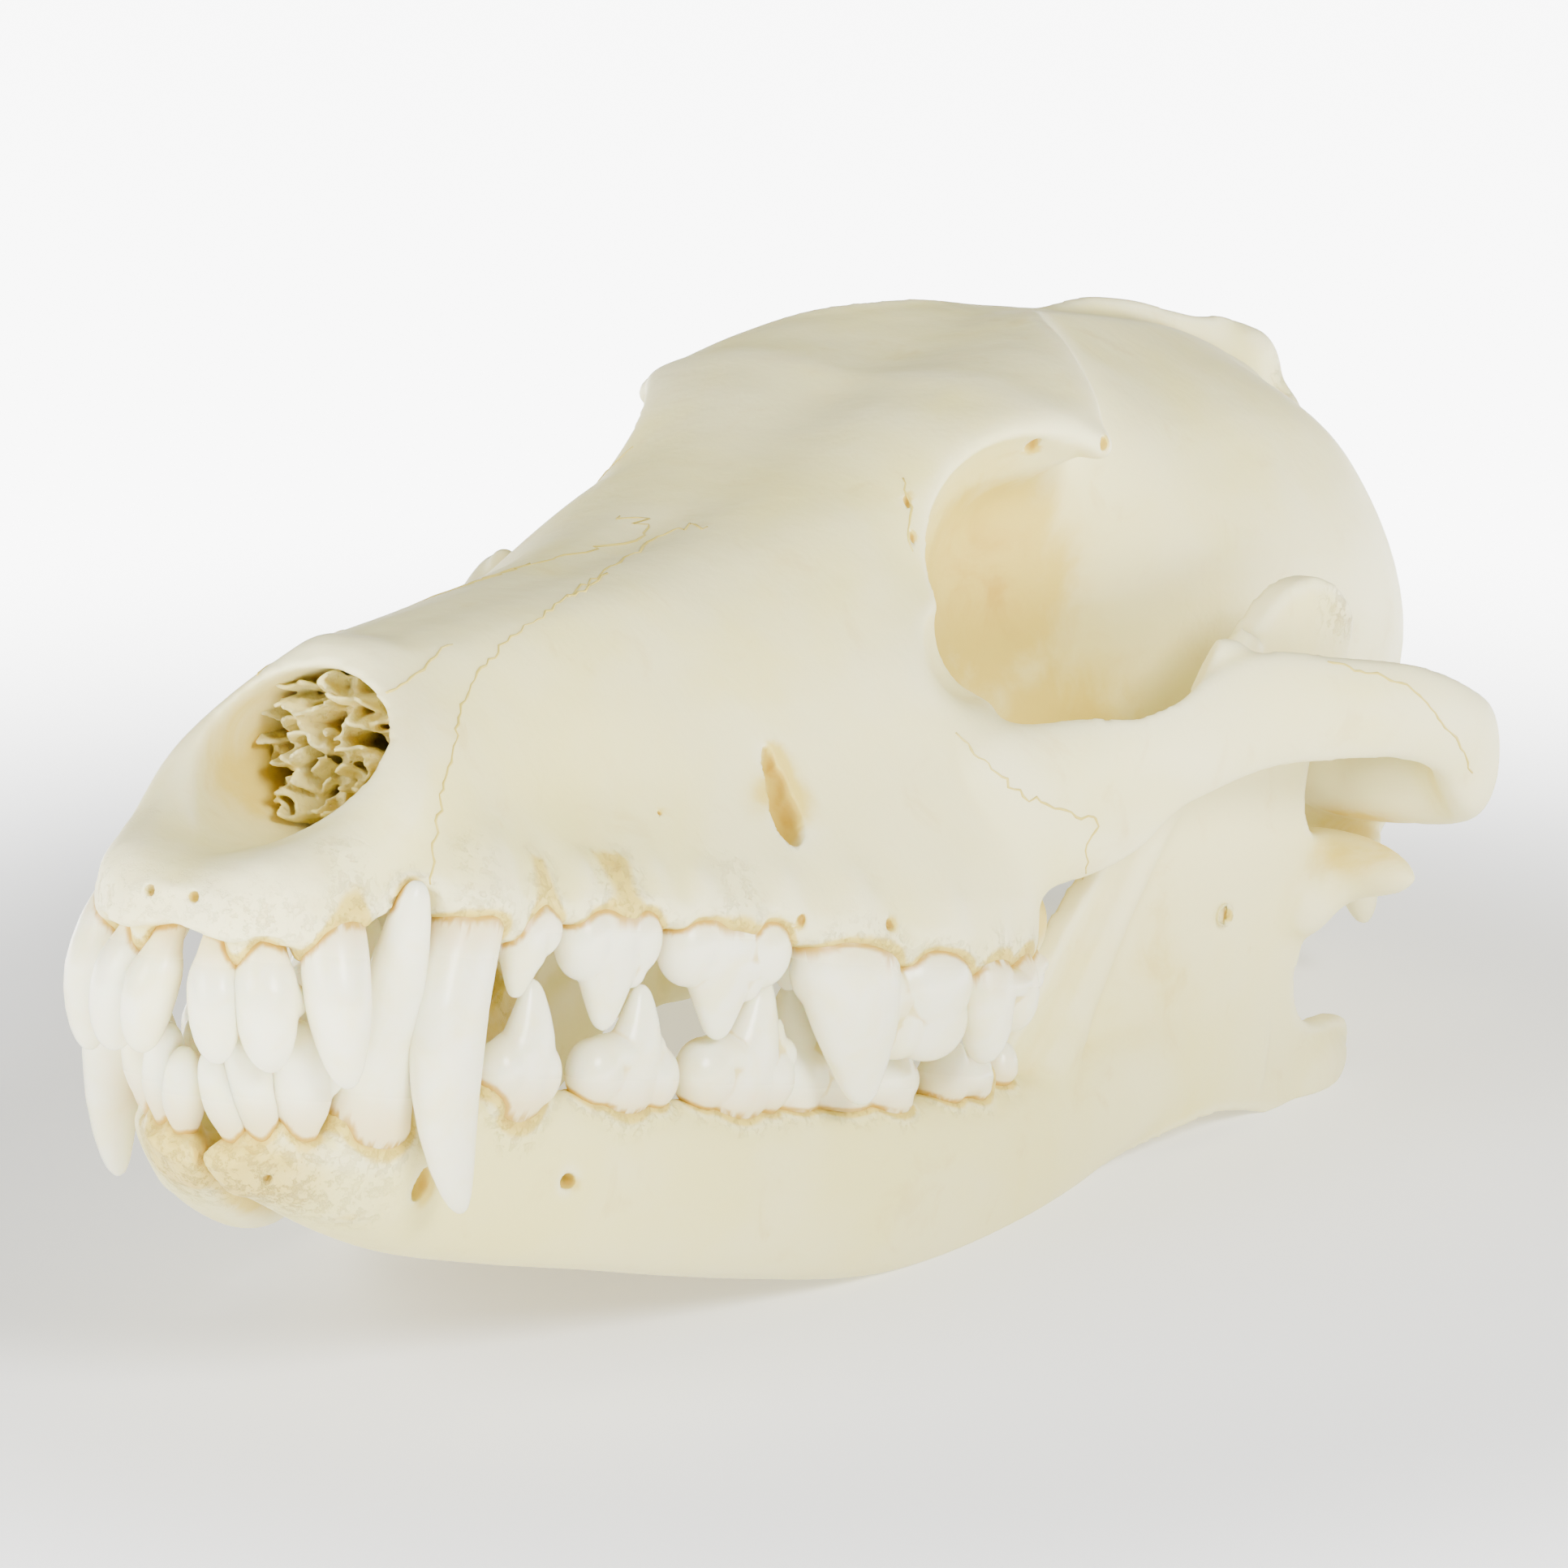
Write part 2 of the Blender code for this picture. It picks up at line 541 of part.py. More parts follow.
def jaw_ring(y):
    """Section of the jaw's body, an oval with fuller corners."""
    top_x, top_z, top_half, bottom_x, bottom_z, bottom_half = row_at(JAW, y)
    ring = []
    for k in range(JAW_SIDES):
        c = math.cos(math.tau * k / JAW_SIDES)
        s = math.sin(math.tau * k / JAW_SIDES)
        across = math.copysign(abs(c) ** JAW_FULLNESS, c)
        up = 0.5 + 0.5 * math.copysign(abs(s) ** JAW_FULLNESS, s)
        middle = bottom_x + (top_x - bottom_x) * up
        half = bottom_half + (top_half - bottom_half) * up
        ring.append((middle + half * across, y, bottom_z + (top_z - bottom_z) * up))
    return ring


def ramus_plate(group):
    """Thin wing of the jaw: its side outline, extruded sideways and bowed outwards."""
    outline = rounded(RAMUS, True, RAMUS_STEPS)
    shape = bmesh.new()
    ring = [shape.verts.new((0.0, y, z)) for y, z in outline]
    face = shape.faces.new(ring)
    grown = bmesh.ops.extrude_face_region(shape, geom=[face])
    for item in grown["geom"]:
        if isinstance(item, bmesh.types.BMVert):
            item.co.x = 2 * RAMUS_HALF
    first, last, gap = RAMUS_BENDS
    for y in range(first, last + 1, gap):
        everything = shape.verts[:] + shape.edges[:] + shape.faces[:]
        bmesh.ops.bisect_plane(shape, geom=everything, plane_co=(0, y, 0), plane_no=(0, 1, 0))
    bmesh.ops.triangulate(shape, faces=shape.faces[:])
    for vert in shape.verts:
        lean = (vert.co.z - RAMUS_LEVEL) * RAMUS_LEAN
        vert.co.x += along(RAMUS_LINE, vert.co.y) - RAMUS_HALF + lean
        vert.co *= MM
    return from_bmesh("ramus", shape, group)


def crest(name, line, depth, lean, group):
    """Ridge whose top runs along x, y, z points and whose foot is sunk so deep in the bone below."""
    tops = [Vector(point) for point in rounded(line, False, SPLINE_STEPS)]
    rings = []
    for i, top in enumerate(tops):
        inwards = Vector((-top.x * CREST_TUCK, -lean, -CREST_DOWN)).normalized()
        ahead = (tops[min(i + 1, len(tops) - 1)] - tops[max(i - 1, 0)]).normalized()
        side = ahead.cross(inwards).normalized()
        foot = top + inwards * depth
        thin = side * CREST_TOP
        thick = side * CREST_FOOT
        rings.append([top - thin, top + thin, foot + thick, foot - thick])
    return loft(name, rings, group)


def mirrored(thing, group):
    """The same piece on the other side of the middle."""
    mesh = thing.data.copy()
    for vert in mesh.vertices:
        vert.co.x = -vert.co.x
    mesh.flip_normals()
    return add_object(thing.name + "_mirrored", mesh, group)


def copy_of(thing, name, group):
    return add_object(name, thing.data.copy(), group)


def apply_modifiers(thing):
    """Bakes the object's modifiers into its mesh."""
    bpy.context.view_layer.update()
    graph = bpy.context.evaluated_depsgraph_get()
    mesh = bpy.data.meshes.new_from_object(thing.evaluated_get(graph))
    thing.modifiers.clear()
    thing.data = mesh


def keep_largest(thing):
    """Drops every loose surface but the one that fills the largest box."""
    shape = bmesh.new()
    shape.from_mesh(thing.data)
    seen = set()
    shells = []
    for start in shape.verts:
        if start in seen:
            continue
        shell = {start}
        ends = [start]
        while ends:
            for edge in ends.pop().link_edges:
                for vert in edge.verts:
                    if vert not in shell:
                        shell.add(vert)
                        ends.append(vert)
        seen |= shell
        shells.append(shell)
    sizes = []
    for shell in shells:
        low = [min(v.co[k] for v in shell) for k in range(3)]
        high = [max(v.co[k] for v in shell) for k in range(3)]
        sizes.append(math.prod(b - a for a, b in zip(low, high)))
    largest = shells[sizes.index(max(sizes))]
    bmesh.ops.delete(shape, geom=[v for v in shape.verts if v not in largest], context="VERTS")
    shape.to_mesh(thing.data)
    shape.free()


def boolean(thing, others, operation, solver="EXACT"):
    """One Boolean with a whole collection of closed meshes, applied, and the collection emptied."""
    group = bpy.data.collections.new("operands")
    bpy.context.scene.collection.children.link(group)
    for other in others:
        for owner in list(other.users_collection):
            owner.objects.unlink(other)
        group.objects.link(other)
    modifier = thing.modifiers.new(operation.lower(), "BOOLEAN")
    modifier.operation = operation
    modifier.operand_type = "COLLECTION"
    modifier.collection = group
    modifier.solver = solver
    apply_modifiers(thing)
    for other in others:
        bpy.data.objects.remove(other, do_unlink=True)
    bpy.data.collections.remove(group)
    keep_largest(thing)


def soften(thing, faces):
    """Blends the joins like grown bone, then thins the mesh to about so many triangles."""
    remesh = thing.modifiers.new("blend", "REMESH")
    remesh.mode = "VOXEL"
    remesh.voxel_size = VOXEL * MM
    smooth = thing.modifiers.new("soften", "SMOOTH")
    smooth.factor = 0.5
    smooth.iterations = 4
    apply_modifiers(thing)
    keep_largest(thing)
    thin = thing.modifiers.new("thin", "DECIMATE")
    thin.ratio = faces / sum(len(face.vertices) - 2 for face in thing.data.polygons)
    apply_modifiers(thing)


def tooth_cusps(tooth, proud, jaw, group):
    """The cusps of one tooth as tapered closed forms, each with its root sunk in the jaw."""
    name, neck, heading, root, cusps = tooth
    angle = math.radians(heading)
    back = Vector((math.sin(angle), math.cos(angle), 0.0))
    out = Vector((math.cos(angle), -math.sin(angle), 0.0))
    made = []
    for number, (middle_a, middle_c, length, width, tip_a, tip_c, height) in enumerate(cusps):
        start = Vector(neck) + back * middle_a + out * middle_c
        tip = Vector(neck) + back * tip_a + out * tip_c + Vector((0, 0, proud * height))
        sides = CUSP_SIDES if height > SMALL_CUSP else SMALL_CUSP_SIDES
        deep = start - Vector((0, 0, proud * root)) - out * root * ROOT_LEAN
        stops = [(deep, ROOT_SHRINK)] + [(start.lerp(tip, share), size) for share, size in CUSP_PROFILE]
        rings = []
        for centre, size in stops:
            ring = []
            for k in range(sides):
                turn = math.tau * (k + 0.5) / sides
                spread = back * length / 2 * math.cos(turn) + out * width / 2 * math.sin(turn)
                ring.append(centre + spread * size)
            rings.append(ring)
        made.append(loft(f"{jaw}_{name}_{number}", rings, group))
    return made


def all_cusps(teeth, proud, jaw, group):
    return [cusp for tooth in teeth for cusp in tooth_cusps(tooth, proud, jaw, group)]


def cheek_region(name, side, grow, group):
    """Room that one cheekbone takes: a box between its two slanted sutures."""
    shape = bmesh.new()
    bmesh.ops.create_cube(shape, size=1.0)
    low = Vector(CHEEK_LOW) - Vector((grow, grow, grow))
    high = Vector(CHEEK_HIGH) + Vector((grow, grow, grow))
    for vert in shape.verts:
        vert.co = Vector([(low[k] + high[k]) / 2 + vert.co[k] * (high[k] - low[k]) for k in range(3)])
    for (point, normal), sign in ((CHEEK_FRONT, -1), (CHEEK_BACK, 1)):
        facing = Vector(normal).normalized() * sign
        everything = shape.verts[:] + shape.edges[:] + shape.faces[:]
        bmesh.ops.bisect_plane(
            shape, geom=everything, plane_co=Vector(point) + facing * grow, plane_no=facing, clear_outer=True
        )
        bmesh.ops.edgeloop_fill(shape, edges=[edge for edge in shape.edges if edge.is_boundary])
    for vert in shape.verts:
        vert.co.x *= side
        vert.co *= MM
    return from_bmesh(name, shape, group)


def build_cranium(group):
    """The whole cranium without teeth, as one soft-edged solid."""
    hull = loft("cranium", [hull_ring(y) for y in places_along(HULL, STATION_GAP)], group)
    pieces = [bar("arch", ARCH, group), bar("wing_plate", WING_PLATE, group)]
    pieces.append(crest("nuchal_crest", NUCHAL, NUCHAL_DEPTH, NUCHAL_LEAN, group))
    for name, (centre, radii, turn) in LUMPS.items():
        pieces.append(egg(name, centre, radii, turn, group))
    pieces += [mirrored(piece, group) for piece in list(pieces)]
    midline = [(0.0, y, z) for y, z in SAGITTAL]
    pieces.append(crest("sagittal_crest", midline, SAGITTAL_DEPTH, 0.0, group))
    boolean(hull, pieces, "UNION")
    cutters = [egg(name, *sizes, group) for name, sizes in HOLLOWS.items()]
    cutters += [mirrored(cutter, group) for cutter in list(cutters)]
    cutters.append(egg("neck_hole", *NECK_HOLE, group))
    cutters.append(egg("throat", *THROAT, group))
    cutters.append(loft("nose", [nose_ring(y) for y in places_along(NOSE, STATION_GAP)], group))
    boolean(hull, cutters, "DIFFERENCE")
    soften(hull, CRANIUM_FACES)
    return hull


def part_cranium(cranium, group):
    """Splits the cranium at its sutures into the face, the braincase and two cheekbones."""
    nodes = []
    for side, word in ((1, "left"), (-1, "right")):
        cheek = copy_of(cranium, f"cheekbone_{word}", group)
        boolean(cheek, [cheek_region("inside", side, 0.0, group)], "INTERSECT")
        nodes.append(cheek)
        boolean(cranium, [cheek_region("around", side, CLEARANCE, group)], "DIFFERENCE")
    braincase = copy_of(cranium, "braincase", group)
    in_front = slab("in_front", (-FAR, -FAR, -FAR), (FAR, BRAINCASE_FROM, FAR), group)
    boolean(braincase, [in_front], "DIFFERENCE")
    behind = slab("behind", (-FAR, BRAINCASE_FROM - CLEARANCE, -FAR), (FAR, FAR, FAR), group)
    boolean(cranium, [behind], "DIFFERENCE")
    cranium.name = "upper_jaw_and_face"
    return [cranium, braincase] + nodes


def build_jaw(group):
    """Left half of the lower jaw with its teeth."""
    jaw = loft("jaw_left", [jaw_ring(y) for y in places_along(JAW, STATION_GAP)], group)
    pieces = [ramus_plate(group), bar("ramus_front", RAMUS_FRONT, group)]
    for name, (centre, radii, turn) in JAW_LUMPS.items():
        pieces.append(egg(name, centre, radii, turn, group))
    boolean(jaw, pieces, "UNION")
    soften(jaw, JAW_FACES)
    other_side = slab("other_side", (-FAR, -FAR, -FAR), (CLEARANCE / 2, FAR, FAR), group)
    boolean(jaw, [other_side], "DIFFERENCE")
    boolean(jaw, all_cusps(LOWER_TEETH, 1, "lower", group), "UNION")
    return jaw


def stand_on_floor(jaw, group):
    """Wears small flats on the jaw where it touches the floor."""
    floor = slab("floor", (-FAR, -FAR, -FAR), (FAR, FAR, 0.0), group)
    floor.data.transform(stance_matrix().inverted())
    boolean(jaw, [floor], "DIFFERENCE")


def stance_matrix():
    """From the skull's own frame, in metres, to the room's."""
    lift = Matrix.Translation((0.0, 0.0, FLOOR_BELOW * MM))
    return lift @ Matrix.Rotation(-math.radians(SNOUT_UP), 4, "X")


def scroll_wall(name, grow, group):
    """The wall that the scrolls grow from or, grown, the groove that it stands in."""
    low = (-SCROLL_HALF - grow, SCROLL_FRONT - grow, SCROLL_FOOT - grow)
    high = (SCROLL_HALF + grow, SCROLL_BACK + grow, SCROLL_TOP + grow)
    return slab(name, low, high, group)


def build_scrolls(group):
    """Leaves of thin bone in the nose, joined along a wall in the middle."""
    wall = scroll_wall("nose_scrolls", 0.0, group)
    leaves = []
    for height, front, half in SCROLLS:
        low = (-half, front, height - SCROLL_HALF)
        high = (half, SCROLL_BACK - LEAF_SHORT, height + SCROLL_HALF)
        leaves.append(slab("leaf", low, high, group))
    boolean(wall, leaves, "UNION")
    return wall


def main():
    clear_scene()
    skull = bpy.data.collections.new("coyote_skull")
    bpy.context.scene.collection.children.link(skull)
    bone = make_material("bone", BONE_COLOUR)
    scroll_bone = make_material("scroll_bone", SCROLL_COLOUR)

    cranium = build_cranium(skull)
    nodes = part_cranium(cranium, skull)
    teeth = all_cusps(UPPER_TEETH, -1, "upper", skull)
    teeth += [mirrored(cusp, skull) for cusp in list(teeth)]
    boolean(cranium, teeth, "UNION")
    boolean(cranium, [scroll_wall("scroll_groove", CLEARANCE, skull)], "DIFFERENCE")

    jaw_left = build_jaw(skull)
    stand_on_floor(jaw_left, skull)
    jaw_right = mirrored(jaw_left, skull)
    jaw_right.name = "jaw_right"
    scrolls = build_scrolls(skull)
    nodes += [jaw_left, jaw_right, scrolls]

    stance = bpy.data.objects.new("stance", None)
    skull.objects.link(stance)
    tip = stance_matrix()
    reach = [(tip @ vert.co).y for node in nodes for vert in node.data.vertices]
    stance.rotation_euler = (-math.radians(SNOUT_UP), 0.0, 0.0)
    stance.location = (0.0, -(min(reach) + max(reach)) / 2, FLOOR_BELOW * MM)
    for node in nodes:
        node.parent = stance
        node.data.materials.clear()
        node.data.materials.append(scroll_bone if node is scrolls else bone)


main()
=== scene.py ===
"""Looks of the coyote skull: fine bone, teeth, nose scrolls, sutures, floor, light and camera.

Sizes are in millimetres in the skull's own frame, as in the solids: X to the animal's left, Y from
the front teeth to the back of the head, Z up from the level of the upper tooth sockets. The last
thing done to each piece's mesh is settle(), which moves it from that frame to the room.
"""

import math

import bpy
import numpy as np
from mathutils import Euler, Matrix, Vector
from mathutils.bvhtree import BVHTree


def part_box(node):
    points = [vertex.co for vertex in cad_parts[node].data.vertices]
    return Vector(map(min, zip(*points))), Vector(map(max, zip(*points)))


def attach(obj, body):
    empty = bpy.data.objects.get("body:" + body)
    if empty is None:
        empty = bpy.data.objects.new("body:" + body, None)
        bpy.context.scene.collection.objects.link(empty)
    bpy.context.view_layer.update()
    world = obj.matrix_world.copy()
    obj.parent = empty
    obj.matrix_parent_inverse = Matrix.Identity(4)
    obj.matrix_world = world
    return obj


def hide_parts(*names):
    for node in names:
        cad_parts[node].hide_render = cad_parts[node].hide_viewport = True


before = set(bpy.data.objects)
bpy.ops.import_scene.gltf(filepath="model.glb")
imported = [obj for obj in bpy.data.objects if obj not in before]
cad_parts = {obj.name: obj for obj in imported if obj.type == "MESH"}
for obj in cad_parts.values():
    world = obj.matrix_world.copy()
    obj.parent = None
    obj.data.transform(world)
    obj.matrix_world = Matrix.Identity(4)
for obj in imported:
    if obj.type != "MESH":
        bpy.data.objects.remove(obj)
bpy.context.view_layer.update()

MM = 0.001

# The stance: how far the snout points up, how far the floor is below the tooth sockets, and the
# foremost low corner of the nose scrolls, y and z, by which the frame tells where the skull lies
SNOUT_UP = 12.83
FLOOR_BELOW = 44.6
SCROLL_CORNER = (17.8, 11.1)

# Fineness: gap between sections, points between knots of a curve, sides of each kind of section,
# voxels with which pieces grow together, rounds of smoothing after that, and most triangles
STATION_GAP = 1.5
SPLINE_STEPS = 8
EGG_SIDES = 32
BAR_SIDES = 24
JAW_SIDES = 40
NOSE_SIDES = 40
# Rise for each millimetre along a bar from which its section turns to face the front
STEEP = 0.9
BONE_VOXEL = 0.5
SKULL_ROUNDS = 5
JAW_ROUNDS = 4
BONE_TRIANGLES = 190000
JAW_TRIANGLES = 110000

# The cranium's long hull as half sections from the front teeth to the back of the head:
# y, roof z, crown x z, rim x z, shoulder x z, side x z, lower edge x z, base z
HULL = (
    (-5.0, 3.0, 1.4, 3.0, 2.8, 2.7, 3.8, 2.2, 4.3, 1.4, 3.4, -0.4, 0.2),
    (-3.2, 4.6, 2.6, 4.8, 5.2, 5.0, 6.8, 4.2, 7.6, 2.4, 6.4, -1.0, 0.0),
    (-0.6, 5.6, 3.4, 6.0, 6.4, 6.4, 8.6, 5.4, 9.8, 3.0, 8.8, -0.8, 0.6),
    (3.5, 6.4, 4.4, 7.2, 7.8, 8.0, 10.2, 6.6, 11.3, 3.8, 10.8, 0.4, 1.4),
    (7.0, 8.6, 5.0, 9.4, 8.9, 10.2, 11.3, 8.4, 12.3, 5.6, 12.0, 2.0, 2.4),
    (11.0, 13.0, 5.0, 13.8, 8.9, 14.6, 11.8, 12.0, 13.0, 8.0, 14.0, 2.8, 3.2),
    (15.5, 21.8, 2.6, 21.8, 5.0, 20.8, 9.8, 16.5, 12.9, 9.8, 16.8, 2.4, 3.4),
    (22.0, 23.4, 3.0, 23.3, 6.0, 21.9, 9.8, 17.2, 12.7, 11.0, 16.6, 2.2, 3.8),
    (30.0, 25.0, 3.2, 24.9, 6.6, 23.3, 10.0, 18.4, 13.4, 12.0, 18.8, 2.2, 4.4),
    (40.0, 27.0, 3.4, 26.9, 7.0, 25.4, 11.2, 20.0, 15.0, 12.6, 21.4, 2.0, 4.6),
    (50.0, 29.0, 3.8, 29.0, 8.0, 27.4, 13.2, 21.6, 18.0, 13.6, 24.8, 1.4, 4.4),
    (60.0, 31.4, 4.6, 31.4, 9.6, 29.4, 15.8, 24.0, 21.6, 15.2, 28.2, 0.2, 4.0),
    (70.0, 34.6, 5.6, 34.6, 11.6, 32.6, 18.4, 27.0, 24.4, 18.0, 30.8, -1.2, 3.6),
    (78.0, 37.8, 7.0, 37.8, 13.4, 35.6, 19.4, 29.6, 26.4, 19.6, 31.4, -1.8, 3.4),
    (84.0, 40.7, 8.2, 40.5, 14.7, 37.4, 18.9, 30.6, 27.4, 19.6, 31.2, -1.6, 3.6),
    (88.0, 42.9, 9.2, 42.6, 15.6, 39.6, 17.2, 34.0, 24.0, 19.0, 30.0, -1.0, 4.4),
    (93.0, 45.6, 10.6, 45.4, 17.2, 42.7, 14.4, 36.0, 15.0, 20.0, 26.6, 0.6, 6.0),
    (97.0, 47.4, 12.0, 47.2, 19.0, 44.6, 12.6, 37.0, 11.6, 22.0, 15.0, 4.5, 8.4),
    (101.0, 49.2, 13.4, 49.0, 21.2, 45.4, 11.6, 37.0, 10.4, 24.0, 10.0, 8.0, 10.0),
    (106.0, 50.2, 14.2, 50.4, 23.2, 45.2, 12.2, 37.6, 11.2, 24.5, 10.2, 8.4, 10.4),
    (110.0, 51.0, 13.2, 52.0, 20.8, 47.8, 14.6, 39.0, 13.4, 25.5, 10.8, 8.8, 10.2),
    (115.0, 52.6, 10.2, 53.6, 15.4, 52.2, 17.6, 41.5, 17.2, 27.5, 11.8, 9.4, 9.8),
    (122.0, 54.6, 5.2, 55.3, 9.2, 54.8, 19.4, 44.0, 22.0, 29.0, 13.4, 9.8, 9.2),
    (132.0, 56.0, 2.6, 56.1, 6.0, 55.2, 20.4, 45.6, 26.0, 30.5, 16.2, 9.8, 8.6),
    (145.0, 56.6, 3.0, 56.4, 7.8, 55.4, 22.4, 47.0, 29.0, 31.5, 19.4, 9.4, 7.2),
    (158.0, 56.4, 3.2, 56.2, 8.2, 54.8, 23.0, 46.6, 29.2, 31.0, 21.4, 9.0, 6.2),
    (168.0, 55.2, 3.2, 55.0, 8.2, 53.0, 20.8, 43.8, 27.6, 29.4, 21.2, 9.4, 5.6),
    (177.0, 53.2, 2.8, 53.0, 7.2, 50.8, 16.6, 39.6, 23.2, 27.0, 17.8, 10.6, 6.6),
    (184.0, 49.2, 2.2, 48.8, 5.6, 46.4, 10.6, 37.0, 15.2, 25.6, 12.0, 13.0, 9.0),
    (187.5, 40.0, 1.0, 39.6, 2.6, 38.4, 5.6, 33.0, 8.6, 25.0, 6.6, 17.4, 14.0),
)

# Cheek arch from the upper jaw round to the temple: x, y, z of its middle, half thickness, half height
ARCH = (
    (20.0, 73.0, 12.0, 3.4, 6.0),
    (26.5, 80.0, 12.0, 4.0, 8.0),
    (30.6, 87.0, 12.8, 3.4, 7.6),
    (34.0, 93.6, 15.0, 2.7, 6.8),
    (37.2, 100.5, 18.8, 2.3, 5.4),
    (40.0, 109.0, 22.4, 2.1, 5.4),
    (43.2, 117.6, 23.2, 2.1, 4.8),
    (46.4, 127.2, 23.4, 2.2, 4.4),
    (48.2, 134.4, 22.0, 2.4, 4.4),
    (47.6, 139.8, 19.2, 3.2, 5.6),
    (42.0, 143.8, 16.6, 3.8, 4.2),
    (33.0, 146.0, 17.6, 3.6, 4.6),
    (24.0, 148.0, 20.0, 3.0, 6.0),
)

# Lumps fused into the cranium on both sides: centre, radii, turn about X, Y and Z
LUMPS = {
    "jugal_peak": ((37.5, 107.0, 25.0), (1.9, 4.4, 3.8), (-20, 0, -22)),
    "brow_horn": ((21.5, 106.2, 45.2), (2.8, 3.0, 1.7), (0, 28, 20)),
    "jaw_socket": ((38.0, 141.6, 16.2), (11.4, 4.6, 4.0), (0, 0, -8)),
    "socket_back": ((33.0, 145.0, 10.0), (5.4, 1.9, 5.0), (12, 0, -8)),
    "ear_capsule": ((13.6, 156.0, 6.6), (7.2, 11.4, 8.6), (6, 0, -14)),
    "crest_end": ((1.4, 184.0, 53.4), (2.6, 5.2, 3.8), (-24, 0, 0)),
    "mastoid": ((24.2, 168.0, 14.0), (4.4, 6.2, 8.6), (14, 14, 0)),
    "neck_process": ((23.6, 172.4, 6.2), (2.6, 2.8, 6.8), (8, -12, 0)),
    "neck_condyle": ((8.6, 183.6, 13.4), (4.8, 6.0, 7.2), (-24, 26, 0)),
    "carnassial_root": ((25.2, 61.6, 4.4), (2.6, 7.6, 5.0), (0, -8, -20)),
    "rear_of_row": ((23.0, 94.6, 1.6), (5.0, 5.6, 5.0), (0, 0, 0)),
}

# Top line of the crest along the middle of the skull: y, z
SAGITTAL = (
    (136.0, 55.8),
    (146.0, 57.9),
    (156.0, 58.4),
    (165.0, 57.9),
    (172.0, 57.6),
    (178.0, 58.1),
    (183.0, 57.6),
    (187.0, 56.0),
)
# Crest over the back of the head, from the middle to the ear: x, y, z
NUCHAL = (
    (0.0, 188.4, 54.4),
    (3.0, 187.2, 53.0),
    (6.6, 185.4, 50.0),
    (12.4, 181.6, 43.6),
    (19.6, 176.6, 36.0),
    (24.4, 173.6, 28.0),
    (25.8, 169.6, 19.0),
)
# Half thickness of both crests at the top and at the foot, how steeply they lean inwards for each
# millimetre from the middle, how far they reach down, and the nuchal crest's lean to the front
CREST_TOP = 0.75
CREST_FOOT = 2.25
CREST_TUCK = 0.75
CREST_DOWN = 16.0
NUCHAL_LEAN = 9.0
SAGITTAL_DEPTH = 9.0
NUCHAL_DEPTH = 13.0

# Wing plates behind the palate: x, y, z of the middle, half thickness, half height
WING_PLATE = (
    (9.4, 86.0, 6.0, 1.6, 3.6),
    (9.2, 97.0, 6.0, 1.3, 5.0),
    (8.6, 106.0, 6.8, 1.2, 5.6),
    (8.2, 113.0, 5.8, 1.1, 4.2),
    (9.4, 120.0, 9.4, 1.4, 2.6),
)

# Openings on both sides: centre, radii, turn
HOLLOWS = {
    "orbit": ((26.2, 96.8, 32.2), (15.0, 14.4, 14.4), (0, -24.1, -27.8)),
    "orbit_front": ((26.0, 80.6, 27.4), (4.9, 12.0, 6.4), (-3, 0, 27.7)),
    "nasal_nick_inner": ((1.5, 11.4, 23.0), (0.7, 3.0, 1.6), (0, 0, 0)),
    "nasal_nick_middle": ((3.8, 12.4, 22.0), (0.6, 2.6, 1.5), (0, 20, 0)),
    "nasal_nick_outer": ((5.7, 12.6, 20.4), (0.5, 2.2, 1.2), (0, 40, 0)),
    "ear_hole": ((26.6, 156.5, 13.0), (7.0, 2.8, 3.2), (0, 0, 0)),
    "canine_notch": ((14.0, 9.6, 1.2), (3.4, 3.0, 3.8), (0, -4, 0)),
}
NECK_HOLE = ((0.0, 183.0, 21.5), (7.4, 13.0, 6.6), (-14, 0, 0))
THROAT = ((0.0, 103.0, 7.0), (6.6, 17.0, 4.6), (6, 0, 0))

# Nose cavity: y, half width, floor z, ceiling z
NOSE = (
    (-10.0, 7.6, 5.6, 24.0),
    (-2.0, 7.6, 5.4, 24.0),
    (4.0, 8.0, 6.0, 24.0),
    (9.0, 8.4, 6.4, 23.0),
    (14.0, 8.2, 6.6, 20.8),
    (20.0, 7.6, 6.8, 20.8),
    (30.0, 7.4, 7.6, 21.4),
    (38.0, 6.6, 8.8, 20.6),
    (42.0, 4.0, 11.0, 18.0),
)
# Half of the lower jaw: y, top x z and half thickness, bottom x z and half thickness
JAW = (
    (2.8, 3.4, -17.4, 2.4, 1.6, -19.4, 1.6),
    (5.0, 4.4, -17.0, 3.6, 1.4, -21.0, 1.6),
    (9.0, 6.2, -16.4, 5.4, 3.4, -22.6, 3.4),
    (14.0, 8.0, -15.6, 5.8, 5.2, -24.6, 4.4),
    (20.0, 10.0, -13.8, 4.9, 6.8, -26.3, 4.4),
    (30.0, 13.4, -12.7, 4.2, 10.4, -27.4, 4.0),
    (40.0, 16.4, -12.9, 4.2, 15.0, -27.8, 4.2),
    (50.0, 19.2, -13.6, 4.3, 18.4, -28.4, 4.3),
    (60.0, 21.8, -14.0, 4.4, 21.0, -28.8, 4.5),
    (70.0, 23.8, -13.7, 4.5, 23.2, -29.0, 4.6),
    (82.0, 25.4, -13.3, 4.5, 25.0, -28.2, 4.5),
    (94.0, 26.6, -11.8, 4.0, 26.2, -26.2, 4.0),
    (104.0, 27.6, -9.2, 3.6, 27.4, -22.6, 3.6),
    (113.5, 29.2, -6.2, 3.4, 28.8, -18.4, 3.6),
    (122.0, 31.0, -4.2, 2.8, 30.6, -15.9, 2.8),
    (131.0, 33.2, -4.2, 2.2, 32.8, -15.3, 2.2),
)
# How full the corners of its section are: 1 is a plain oval, less is boxier
JAW_FULLNESS = 0.8
